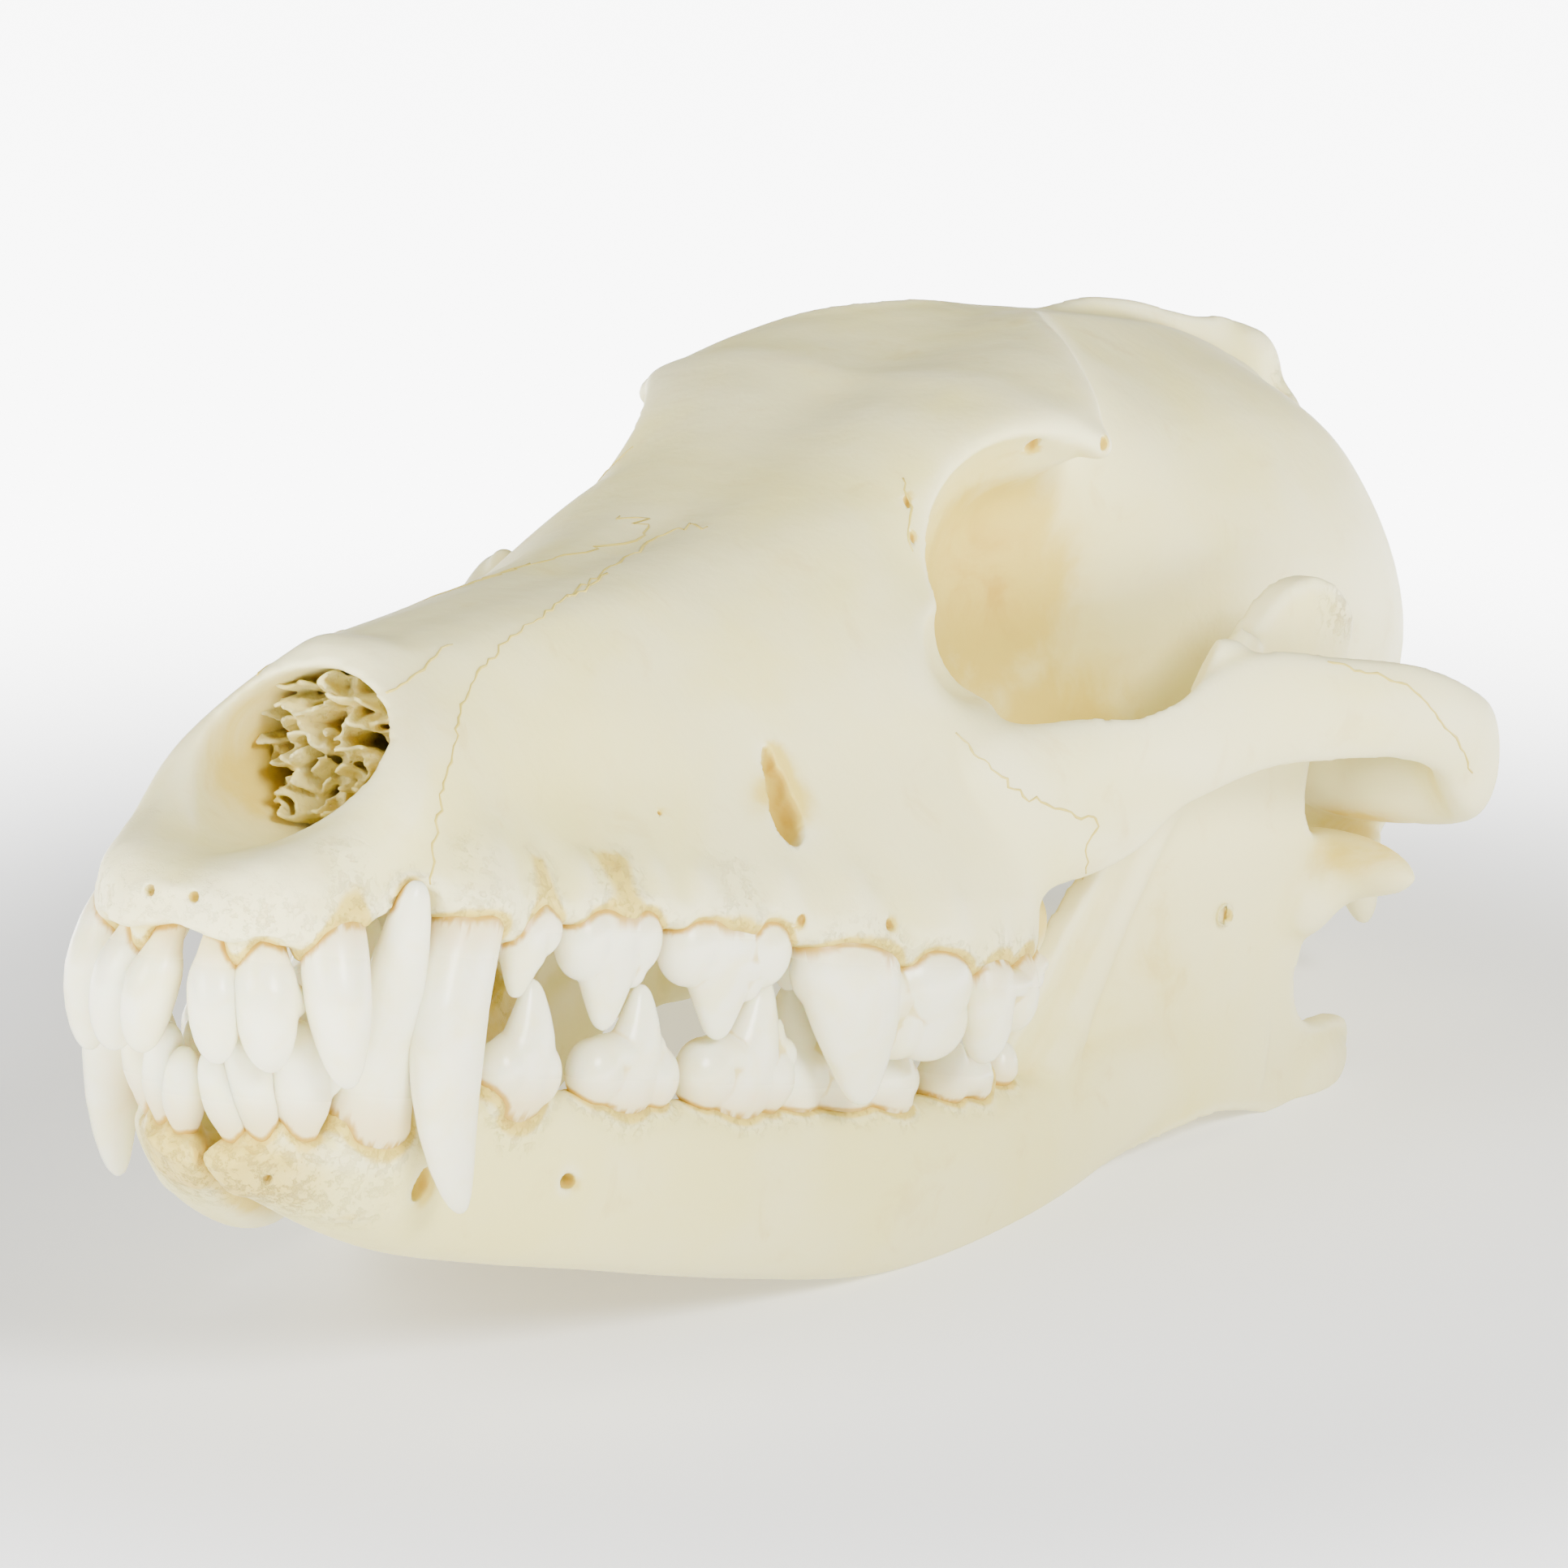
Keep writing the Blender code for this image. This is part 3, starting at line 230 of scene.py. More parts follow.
# Side outline of the jaw's rear wing: y, z
RAMUS = (
    (84.0, -15.3),
    (91.0, -11.3),
    (96.0, -4.3),
    (101.0, 3.7),
    (107.0, 11.7),
    (111.8, 19.8),
    (117.4, 27.6),
    (121.2, 32.4),
    (125.0, 34.4),
    (129.6, 34.2),
    (134.3, 31.4),
    (134.4, 27.0),
    (131.4, 20.0),
    (131.0, 14.0),
    (133.8, 11.0),
    (138.8, 11.4),
    (140.6, 8.6),
    (138.2, 5.0),
    (135.6, 1.0),
    (135.0, -3.0),
    (137.0, -6.2),
    (141.2, -7.2),
    (147.2, -6.6),
    (148.8, -9.6),
    (144.8, -14.2),
    (137.2, -15.8),
    (126.8, -15.2),
    (116.0, -17.9),
    (103.7, -22.3),
    (88.0, -24.2),
)
RAMUS_HALF = 1.3
# How far out the middle of the wing stands: y, x
RAMUS_LINE = (
    (84.0, 25.8),
    (94.0, 26.8),
    (104.0, 28.4),
    (112.0, 30.6),
    (121.0, 32.9),
    (131.0, 34.6),
    (143.0, 35.2),
    (150.0, 35.0),
)
# How far out it leans for each millimetre above a level
RAMUS_LEAN = 0.06
RAMUS_LEVEL = 10.0
# Where the flat wing is cut across so that it can bend outwards: first y, last y and gap
RAMUS_BENDS = (92, 148, 4)
# Ridge up the outer face of the wing: x, y, z, half thickness, half width
RAMUS_FRONT = (
    (27.6, 95.6, -18.4, 2.2, 3.2),
    (28.2, 101.6, -7.4, 2.0, 2.8),
    (30.2, 107.4, 6.2, 1.8, 2.4),
    (32.4, 112.8, 18.8, 1.6, 2.2),
    (34.4, 118.4, 28.6, 1.4, 1.8),
)
JAW_LUMPS = {
    "jaw_condyle": ((37.2, 137.8, 8.2), (8.6, 3.2, 3.2), (0, 4, -10)),
    "jaw_neck": ((35.8, 135.0, 5.0), (3.0, 5.0, 3.4), (30, 0, 0)),
    "jaw_angle": ((33.4, 142.4, -11.4), (3.4, 6.4, 3.8), (20, 0, -6)),
}

# Shapes along a cusp from its neck to its tip: share of the height, share of the size
FANG = (
    (0.0, 0.94), (0.12, 0.99), (0.3, 1.0), (0.45, 0.98), (0.6, 0.88), (0.74, 0.74), (0.86, 0.57),
    (0.94, 0.4), (0.98, 0.26), (1.0, 0.1),
)
HOOK = (
    (0.0, 1.0), (0.15, 0.9), (0.36, 0.76), (0.55, 0.7), (0.72, 0.61), (0.85, 0.49), (0.94, 0.36),
    (0.98, 0.24), (1.0, 0.1),
)
LEAF = (
    (0.0, 0.58), (0.1, 0.7), (0.22, 0.9), (0.34, 1.0), (0.5, 0.99), (0.68, 0.9), (0.82, 0.74),
    (0.92, 0.54), (0.98, 0.3), (1.0, 0.12),
)
POINT = (
    (0.0, 1.0), (0.2, 0.98), (0.4, 0.88), (0.55, 0.76), (0.7, 0.6), (0.82, 0.46), (0.92, 0.33),
    (0.97, 0.22), (1.0, 0.08),
)
KNOB = ((0.0, 1.0), (0.3, 0.98), (0.6, 0.86), (0.82, 0.66), (0.94, 0.42), (1.0, 0.14))
# How much of the neck's size is left at the end of a root, and how far a root leans inwards
ROOT_END = 0.6
ROOT_LEAN = 0.38

# Teeth of the left side. A tooth is: neck centre x y z, heading of its row in degrees from straight
# back towards the left, root depth, height of the enamel's edge over the neck, and its parts.
# A cusp is: shape, foot along and outwards, length and width, tip along, outwards and proud, and how
# far its middle bows along and outwards. A lobe is: centre along, outwards and proud, three radii.
UPPER_TEETH = {
    "upper_incisor_1": (
        (2.2, -1.2, -1.4), 82, 5.0, 0.6,
        (
            (LEAF, 0.1, 0.0, 4.6, 4.4, 1.3, 0.4, 9.4, 0.1, 0.5),
            (LEAF, 0.9, -0.2, 2.6, 3.0, 2.0, 0.0, 7.6, 0.4, 0.2),
        ),
        (),
    ),
    "upper_incisor_2": (
        (6.3, 0.6, -0.6), 62, 5.0, 0.6,
        ((LEAF, -0.5, 0.0, 5.4, 4.9, 0.9, 0.6, 10.4, -0.1, 0.6),),
        ((2.0, -0.2, 4.6, 1.4, 1.4, 1.5), (-2.2, -0.2, 5.4, 1.0, 1.3, 1.9)),
    ),
    "upper_incisor_3": (
        (10.4, 4.0, 0.6), 42, 6.0, 0.8,
        ((FANG, -0.5, 0.0, 5.7, 5.2, 1.6, 1.0, 12.4, -0.4, 0.9),),
        ((0.9, -0.8, 3.4, 1.8, 1.6, 2.2),),
    ),
    "upper_canine": (
        (14.8, 16.6, 2.4), 8, 5.0, 2.2,
        ((FANG, 0.0, 0.0, 7.7, 5.3, 1.0, 1.4, 24.2, -3.0, 0.4),),
        (),
    ),
    "upper_premolar_1": (
        (16.2, 24.4, 2.6), 8, 4.0, 0.4,
        ((POINT, -0.5, 0.0, 5.2, 4.2, -1.8, 0.4, 7.0, -0.3, 0.2),),
        ((0.4, 0.1, 1.4, 2.5, 2.1, 2.4), (-1.1, 0.1, 3.0, 2.2, 2.0, 2.2)),
    ),
    "upper_premolar_2": (
        (17.8, 34.2, 2.8), 13, 4.0, 0.4,
        ((POINT, -0.4, 0.1, 7.8, 4.7, 0.1, 0.5, 9.9, -0.1, 0.2),),
        (
            (-3.1, 0.3, 2.4, 2.7, 2.3, 3.4), (3.0, 0.3, 2.2, 2.6, 2.3, 3.2),
            (-0.5, 0.2, 3.9, 4.4, 2.3, 2.0), (2.9, 0.3, 4.8, 1.3, 1.5, 1.6),
        ),
    ),
    "upper_premolar_3": (
        (21.4, 47.4, 2.4), 20, 4.0, 0.4,
        ((POINT, -0.6, 0.1, 8.4, 4.9, 0.3, 0.4, 10.2, -0.1, 0.2),),
        (
            (-3.8, 0.3, 2.4, 3.0, 2.4, 3.4), (4.2, 0.3, 2.4, 3.0, 2.4, 3.4), (0.0, 0.2, 3.9, 5.4, 2.4, 2.1),
            (2.9, 0.3, 5.3, 1.4, 1.6, 1.6),
        ),
    ),
    "upper_premolar_4": (
        (27.0, 64.6, 0.6), 18, 5.0, 0.4,
        (
            (POINT, -4.2, 0.6, 11.6, 6.2, -1.2, 1.6, 13.6, -0.3, 0.5),
            (POINT, -6.6, -3.4, 4.8, 4.4, -6.2, -3.6, 4.6, 0.0, 0.0),
        ),
        (
            (-5.4, 0.8, 2.2, 4.2, 3.1, 3.8), (6.0, 0.6, 3.2, 5.0, 3.1, 4.2), (6.9, 0.4, 6.2, 4.4, 2.5, 3.7),
            (3.2, 0.4, 6.6, 3.4, 2.3, 3.2), (0.6, 0.3, 4.6, 5.0, 2.6, 3.6),
        ),
    ),
    "upper_molar_1": (
        (28.4, 80.2, -1.2), 8, 4.0, 0.3,
        (
            (KNOB, -2.2, 3.0, 5.8, 5.2, -1.9, 3.8, 8.2, 0.0, 0.4),
            (KNOB, 2.4, 2.7, 5.2, 5.0, 2.7, 3.1, 5.6, 0.0, 0.4),
            (KNOB, -1.6, -3.2, 5.6, 6.4, -1.4, -3.0, 4.2, 0.0, 0.0),
            (KNOB, 2.4, -3.0, 4.8, 5.6, 2.4, -2.8, 3.4, 0.0, 0.0),
        ),
        ((0.2, 0.0, 1.2, 5.4, 6.0, 2.2),),
    ),
    "upper_molar_2": (
        (26.6, 90.2, -0.6), 2, 3.4, 0.3,
        (
            (KNOB, -0.8, 2.2, 3.8, 4.0, -0.6, 3.0, 3.4, 0.0, 0.3),
            (KNOB, 0.4, -2.0, 4.2, 5.0, 0.4, -1.8, 2.4, 0.0, 0.0),
        ),
        ((0.0, 0.2, 0.6, 3.2, 4.4, 1.5),),
    ),
}
LOWER_TEETH = {
    "lower_incisor_1": (
        (1.7, 4.6, -17.4), 84, 4.0, 2.4,
        ((LEAF, 0.7, 0.0, 3.5, 3.5, -0.9, 3.2, 7.4, 0.0, 0.3),),
        (),
    ),
    "lower_incisor_2": (
        (4.3, 5.4, -17.0), 70, 4.0, 2.6,
        ((LEAF, 0.1, 0.0, 4.0, 3.8, -2.2, 3.0, 8.5, 0.1, 0.3),),
        ((0.1, 1.6, 5.0, 0.9, 0.9, 1.1),),
    ),
    "lower_incisor_3": (
        (7.0, 7.6, -16.6), 52, 4.0, 2.4,
        ((LEAF, -0.5, 0.0, 4.9, 4.4, -1.8, 2.6, 9.8, 0.2, 0.4),),
        ((1.3, 1.0, 5.0, 1.2, 1.2, 1.4),),
    ),
    "lower_canine": (
        (9.6, 13.0, -15.6), 30, 7.0, 2.0,
        ((HOOK, -0.2, -0.1, 7.6, 6.2, -1.3, 6.0, 20.8, -0.6, 0.9),),
        (),
    ),
    "lower_premolar_1": (
        (12.2, 21.0, -13.2), 14, 3.0, 0.6,
        ((KNOB, 0.0, 0.0, 3.6, 3.0, 0.0, 0.2, 3.8, 0.0, 0.0),),
        (),
    ),
    "lower_premolar_2": (
        (14.8, 28.2, -12.9), 15, 4.0, 0.9,
        ((POINT, -1.0, 0.1, 6.6, 4.3, -0.7, 0.5, 9.9, 0.4, 0.2),),
        ((-2.9, 0.2, 2.2, 2.3, 2.1, 2.8), (1.2, 0.2, 2.0, 2.2, 2.1, 2.8), (-1.0, 0.2, 3.8, 3.0, 2.1, 1.9)),
    ),
    "lower_premolar_3": (
        (17.4, 39.4, -13.1), 15, 4.0, 0.9,
        ((POINT, 0.1, 0.1, 6.6, 4.5, 1.0, 0.6, 9.8, 0.5, 0.2),),
        (
            (-3.1, 0.2, 2.3, 2.7, 2.3, 3.0), (3.7, 0.2, 1.9, 2.6, 2.3, 2.9),
            (-0.8, 0.2, 3.8, 4.0, 2.2, 1.8), (3.3, 0.3, 4.3, 1.2, 1.4, 1.5),
            (5.0, 0.2, 2.9, 1.2, 1.4, 1.2),
        ),
    ),
    "lower_premolar_4": (
        (20.6, 51.6, -13.4), 14, 4.0, 0.9,
        (
            (POINT, 1.5, 0.1, 7.2, 4.8, 3.1, 0.8, 10.9, 0.2, 0.2),
            (POINT, 5.3, 0.1, 3.4, 3.2, 5.9, 0.5, 7.3, 0.1, 0.1),
        ),
        (
            (-2.5, 0.2, 2.5, 3.0, 2.4, 3.2), (5.2, 0.2, 2.1, 2.9, 2.4, 3.0), (0.0, 0.2, 4.1, 4.4, 2.3, 1.9),
            (6.9, 0.3, 4.1, 1.3, 1.5, 1.7),
        ),
    ),
    "lower_molar_1": (
        (22.8, 67.2, -13.6), 13, 5.0, 0.6,
        (
            (POINT, -6.0, 0.0, 8.0, 5.4, -5.6, -0.4, 10.6, 0.0, 0.0),
            (POINT, 0.0, 0.0, 9.6, 6.0, 0.4, -0.6, 12.8, 0.0, 0.0),
            (KNOB, 6.8, 1.1, 5.2, 3.8, 7.0, 0.9, 6.2, 0.0, 0.0),
            (KNOB, 7.0, -1.8, 5.2, 3.8, 7.2, -2.0, 5.8, 0.0, 0.0),
        ),
        ((-5.6, 0.0, 2.4, 4.8, 2.9, 3.4), (5.6, 0.0, 2.0, 5.2, 3.3, 3.0), (0.0, 0.0, 3.6, 5.4, 3.0, 3.2)),
    ),
    "lower_molar_2": (
        (26.2, 84.4, -12.6), 12, 3.6, 0.5,
        (
            (KNOB, -1.9, 0.2, 4.4, 4.8, -1.8, 0.2, 4.8, 0.0, 0.0),
            (KNOB, 2.0, 0.0, 4.0, 4.4, 2.2, 0.0, 3.8, 0.0, 0.0),
        ),
        ((0.0, 0.0, 1.2, 4.2, 2.9, 2.0),),
    ),
    "lower_molar_3": (
        (26.8, 91.4, -11.2), 10, 3.0, 0.4,
        ((KNOB, 0.0, 0.0, 3.8, 3.8, 0.0, 0.0, 2.8, 0.0, 0.0),),
        (),
    ),
}
# Arcs of the bone's edge over each root: reach as a share of the root's length, depth, half height,
# and how far their middle lies proud of the tooth's neck
ARC_SHARE = 0.4
ARC_DEPTH = 1.5
ARC_HEIGHT = 1.9
ARC_OVER = 0.9

# Word in the names of both halves of the lower jaw
JAW_WORD = "jaw"
# Gap between each half of the jaw and the skull's middle
JAW_MIDDLE = 0.15
# Rear corner of the right jaw, which reaches further back than the left one: centre, radii, shift
JAW_CORNER = (35.0, 146.0, -9.0)
JAW_CORNER_SIZE = (8.0, 9.0, 7.0)
JAW_CORNER_MOVE = (0.0, 3.0, 2.4)

# Lump of bone between neighbouring teeth of a row, and how near they stand to have one
SEPTUM_SIZE = (1.9, 1.2, 2.0)
SEPTUM_REACH = 9.0
# Fineness of the teeth, the height over which enamel turns to root, how much the right teeth differ
# in size from the left ones, and how much longer the right upper canine is
TOOTH_VOXEL = 0.22
TOOTH_ROUNDS = 8
TOOTH_TRIANGLES = 4400
ENAMEL_FADE = 3.0
TOOTH_VARIATION = 0.03
RIGHT_CANINE_GROWTH = 1.07

# Seeds of the random draws
TOOTH_SEED = 7
SCROLL_SEED = 11
SEAM_SEED = 5

# Where the camera stands in the room before the skull is centred, its direction in degrees, its
# lens and sensor width, the width of the picture in pixels, for places given by a pixel, and how
# far it sees in metres
CAMERA_PLACE = (328.3, -503.2, 212.1)
CAMERA_AZIMUTH = 28.7
CAMERA_ELEVATION = 14.6
LENS = 179.5
SENSOR = 36.0
PICTURE = 1932
FAR_CLIP = 20.0

# How fast a swelling, stain, painted shade or pore field fades outside its egg-shaped place
FALLOFF = 1.5

# Soft swellings and hollows of the bone on both sides: centre, radii, turn, height outwards
SWELLINGS = {
    "canine_root": ((15.6, 19.4, 8.0), (5.0, 5.0, 9.0), (0, 0, 0), 1.0),
    "canine_hollow": ((18.5, 32.0, 14.0), (6.0, 7.0, 8.0), (0, 0, 0), -1.3),
    "muzzle_side": ((20.0, 45.0, 17.0), (6.0, 7.0, 7.0), (0, 0, 0), 0.7),
    "cheek_hollow": ((37.0, 95.0, 13.5), (6.0, 9.0, 4.0), (0, 0, 0), -1.2),
    "brow_dip": ((0.0, 96.0, 47.0), (6.0, 16.0, 8.0), (0, 0, 0), -1.2),
    "nose_root_dip": ((0.0, 66.0, 33.0), (4.0, 12.0, 6.0), (0, 0, 0), -0.7),
    "premolar_2_front": ((17.0, 30.0, 5.0), (2.2, 2.0, 4.0), (0, 0, 0), 0.5),
    "premolar_2_back": ((19.0, 38.5, 5.0), (2.2, 2.0, 4.0), (0, 0, 0), 0.4),
    "premolar_3_front": ((21.5, 43.0, 5.0), (2.2, 2.2, 4.0), (0, 0, 0), 0.5),
    "premolar_3_back": ((24.5, 52.0, 5.0), (2.2, 2.2, 4.0), (0, 0, 0), 0.5),
    "premolar_4_front": ((28.0, 59.5, 4.0), (3.0, 3.0, 5.0), (0, 0, 0), 0.6),
    "premolar_4_back": ((31.5, 70.5, 3.0), (3.0, 3.0, 5.0), (0, 0, 0), 0.6),
    "molar_front": ((33.5, 78.0, 2.0), (2.4, 2.0, 4.0), (0, 0, 0), 0.4),
}
JAW_SWELLINGS = {
    "chewing_hollow": ((33.0, 116.0, -1.0), (8.0, 15.0, 12.0), (0, 0, 0), -0.9),
    "jaw_side_dip": ((27.0, 60.0, -22.0), (6.0, 26.0, 4.0), (0, 0, 0), 0.4),
}

# Where joins between pieces of bone are softened further, on both sides: centre, radii, turn
MELTS = {
    "orbit_corner": ((27.0, 80.0, 24.0), (7.0, 7.0, 8.0), (0, 0, 0)),
    "cheek_root": ((31.0, 86.0, 10.0), (6.0, 9.0, 8.0), (0, 0, 0)),
    "ear_and_neck": ((22.0, 168.0, 8.0), (12.0, 14.0, 14.0), (0, 0, 0)),
    "condyles": ((8.0, 182.0, 14.0), (8.0, 8.0, 9.0), (0, 0, 0)),
    "nape": ((14.0, 182.0, 42.0), (12.0, 8.0, 10.0), (0, 0, 0)),
    "crest_corner": ((1.0, 182.0, 53.0), (5.0, 9.0, 6.0), (0, 0, 0)),
    "coronoid_foot": ((34.0, 108.0, 16.0), (4.0, 8.0, 8.0), (0, 0, 0)),
    "joint_neck": ((37.0, 138.0, 6.0), (10.0, 7.0, 6.0), (0, 0, 0)),
}
MELT_ROUNDS = 24
MELT_STRENGTH = 1.6

# Ochre stains and painted shade on both sides, with their strength: centre, radii, turn, strength
STAINS_AND_SHADE = {
    # Ochre inside the nose, darkened further as painted shade where little light gets in
    "nose_depth": ((0.0, 30.0, 13.0), (8.0, 16.0, 9.0), (0, 0, 0), 0.45),
    "nose_wall": ((6.0, 18.0, 12.0), (5.0, 9.0, 8.0), (0, 0, 0), 0.55),
    # Ochre in the orbit and the fossa behind it, darkened further as painted shade
    "orbit_floor": ((19.5, 103.0, 19.0), (11.0, 12.0, 5.0), (0, 0, -12), 1.0),
    "orbit_wall": ((13.0, 106.0, 31.0), (8.0, 14.0, 13.0), (0, 0, 0), 0.8),
    "orbit_roof": ((20.0, 98.0, 40.0), (8.0, 8.0, 6.0), (0, 0, 0), 0.25),
    "fossa_floor": ((17.0, 117.0, 19.0), (8.0, 14.0, 8.0), (0, 0, 0), 0.5),
    # Painted shade behind the tooth row
    "behind_row": ((29.0, 94.0, 3.0), (6.0, 6.0, 4.0), (0, 0, 0), 0.6),
    "jaw_joint": ((37.0, 139.0, 11.0), (9.0, 5.0, 2.4), (0, 0, 0), 0.9),
    # Painted shade on the palate and in the cheek canal
    "palate": ((4.0, 50.0, -3.0), (15.0, 44.0, 6.0), (0, 0, 0), 0.85),
    "cheek_canal": ((20.4, 55.0, 12.0), (1.6, 4.0, 4.6), (0, 0, 0), 0.45),
}
JAW_STAINS = {
    "chewing_floor": ((33.0, 112.0, -2.0), (8.0, 14.0, 12.0), (0, 0, 0), 0.2),
    "joint_head": ((37.0, 138.0, 9.0), (9.0, 5.0, 3.0), (0, 0, 0), 0.8),
    "chin": ((4.0, 4.0, -20.0), (9.0, 7.0, 5.0), (0, 0, 0), 0.55),
}
# Painted shade on the jaws' side that faces the mouth, where it fades towards the back and below the
# sockets
MOUTH_SHADE = 0.75
MOUTH_BACK = (88.0, 104.0)
MOUTH_FLOOR = (22.0, 27.0)
# Porous bone on both sides: centre, radii, turn
POROUS = {
    "chin": ((5.0, 6.0, -21.0), (7.0, 7.0, 5.0), (0, 0, 0)),
    "upper_front": ((3.0, -1.0, 1.5), (7.0, 4.0, 2.6), (0, 0, 0)),
    "crest_end": ((0.0, 188.0, 52.0), (10.0, 4.0, 5.0), (0, 0, 0)),
    "jaw_tip": ((35.0, 133.0, 32.0), (4.0, 5.0, 3.0), (0, 0, 0)),
}
# Bands round each tooth, as distances at which they are full and gone: the bone's raised edge with
# its height, the stain and the roughness beside it with their strengths, and the tooth's own neck
RIM_REACH = 3.0
RIM_BAND = (0.1, 1.3)
RIM_HEIGHT = 0.3
STAIN_BAND = (0.0, 0.9)
STAIN_STRENGTH = 0.75
ROUGH_BAND = (0.4, 2.2)
ROUGH_STRENGTH = 0.35
NECK_BAND = (0.15, 0.75)
# How hollows are told from ridges: rounds of averaging, and gain for each millimetre
BONE_HOLLOWS = (12, 2.2)
TOOTH_HOLLOWS = (8, 4.0)
SCROLL_HOLLOWS = (10, 0.8)

# How far the painted shade in and round a small opening reaches, in its own half widths
PIT_SHADE = 1.3
# Small openings where the photo shows them: pixel across and down, half width, half length, depth
SKULL_PITS = {
    "front_pore": (238, 1105, 0.5, 0.5, 1.2),
    "cheek_canal": (970, 1006, 1.7, 2.9, 5.0),
    "cheek_canal_middle": (960, 978, 1.3, 2.8, 4.2),
    "cheek_canal_top": (949, 948, 0.8, 2.2, 3.0),
    "canine_pore": (985, 1135, 0.5, 0.7, 1.0),
    "carnassial_pore": (1095, 1140, 0.7, 0.7, 1.6),
    "cheek_root_pore": (1335, 1110, 0.6, 0.8, 1.6),
    "brow_pit": (1361, 546, 0.5, 0.7, 1.2),
    "orbit_roof_notch": (1272, 548, 0.6, 1.2, 1.2),
    "tear_pore": (1118, 618, 0.4, 0.7, 0.8),
    "tear_pore_low": (1124, 662, 0.35, 0.6, 0.8),
    "muzzle_pore": (812, 1002, 0.3, 0.3, 0.5),
}
JAW_PITS = {
    "chin_hole": (700, 1456, 0.85, 0.7, 3.4),
    "chin_hole_front": (520, 1460, 0.9, 1.6, 2.4),
    "chin_pore": (329, 1453, 0.6, 0.8, 1.8),
    "ramus_pore": (1513, 1128, 0.4, 0.5, 0.8),
}
# Where the photo shows the seams between skull bones, as pixels across and down
SEAMS = {
    "premaxilla": (
        (532, 1090), (534, 1040), (545, 980), (560, 920), (570, 870), (590, 830), (625, 790), (657, 768),
        (700, 735), (760, 700),
    ),
    "nasal_side": ((476, 855), (500, 839), (520, 822), (545, 800), (566, 787)),
    "cheekbone": (
        (1177, 903), (1228, 954), (1269, 985), (1300, 995), (1355, 1011), (1340, 1041), (1338, 1092),
    ),
    "arch": (
        (1636, 814), (1713, 837), (1743, 852), (1769, 878), (1794, 909), (1810, 939), (1815, 965),
    ),
    "brow": ((700, 735), (780, 680), (830, 655), (880, 645)),
    "tear_bone": ((1110, 590), (1122, 625), (1118, 660), (1130, 690)),
}
# A seam's steps and sideways wander in pixels, its half thickness and how much that varies
SEAM_STEP = 7.0
SEAM_WANDER = 2.2
SEAM_HALF = 0.11
SEAM_SWELL = (0.6, 1.3)
SEAM_SIDES = 6
SEAM_STAIN = 0.5

# Frilled scrolls of bone in the nose: plates on each side, lowest and highest one, front, length,
# distance from the middle, reach outwards and thickness
SCROLL_PLATES = 12
SCROLL_GRID = 30
SCROLL_HEIGHTS = (8.2, 19.6)
SCROLL_FRONT = 16.5
SCROLL_LENGTH = 17.0
SCROLL_INNER = 0.5
SCROLL_REACH = 7.2
SCROLL_THICK = 0.34
# How far a plate's outer edge lies behind its inner one, how much the fronts differ, and their rags:
# height, pace across
SCROLL_SLANT = 3.4
SCROLL_SCATTER = 1.0
SCROLL_RAGS = (
    (1.6, 9.0),
    (0.9, 23.0),
)
# Waves of a plate: height, pace across, pace inwards, and how far its outer edge curls
SCROLL_WAVES = (
    (0.6, 6.5, 2.0),
    (0.4, 14.0, 0.0),
    (0.35, 5.0, 16.0),
)
SCROLL_CURL = 0.6
# Wall down the middle of the nose: thickness, how far behind the plates it starts, spare height
WALL_THICK = 0.7
WALL_BACK = 3.0
WALL_SPARE = 1.0
SCROLL_VOXEL = 0.2
SCROLL_ROUNDS = 2
SCROLL_TRIANGLES = 90000
# The scrolls' own ochre, and painted shade that grows from their front to their back, deeper in the nose
SCROLL_STAIN = 0.5
SCROLL_DEEP_SHADE = 0.25
SCROLL_ROUGHNESS = 0.3

# Colours of bone and its stains, and of the teeth
IVORY = (0.86, 0.795, 0.40, 1.0)
CREAM = (0.85, 0.765, 0.29, 1.0)
PALE = (0.90, 0.85, 0.54, 1.0)
TAN = (0.71, 0.57, 0.19, 1.0)
HONEY = (0.72, 0.545, 0.09, 1.0)
OCHRE = (0.56, 0.32, 0.02, 1.0)
WHITE = (0.93, 0.895, 0.66, 1.0)
MILK = (0.91, 0.855, 0.53, 1.0)
ROOT_CREAM = (0.86, 0.72, 0.38, 1.0)

# How light wanders under bone and enamel: share for each colour, and depth in metres
SCATTER_COLOUR = (1.0, 0.6, 0.35)
SCATTER_DEPTH = 0.0022

# The floor's radius, sides and colour, and its own light: weakest and strongest, and the distances
# from the middle between which it grows. FLOOR_EASE is how gently a piece flattens where it rests.
FLOOR_RADIUS = 4.0
FLOOR_SIDES = 96
FLOOR_GREY = (0.9, 0.9, 0.9, 1.0)
FLOOR_GLOW = (0.5, 8.0)
FLOOR_FADE = (0.09, 0.27)
FLOOR_EASE = 0.25
WHITE_LIGHT = (1.0, 1.0, 1.0, 1.0)
# Light of the room, and the lamps: place, size, power
ROOM_LIGHT = 0.2
LIGHTS = (
    ("key", (1.3, -0.6, 0.95), 0.6, 43.0),
    ("front", (-0.55, -1.25, 0.75), 0.8, 26.0),
)


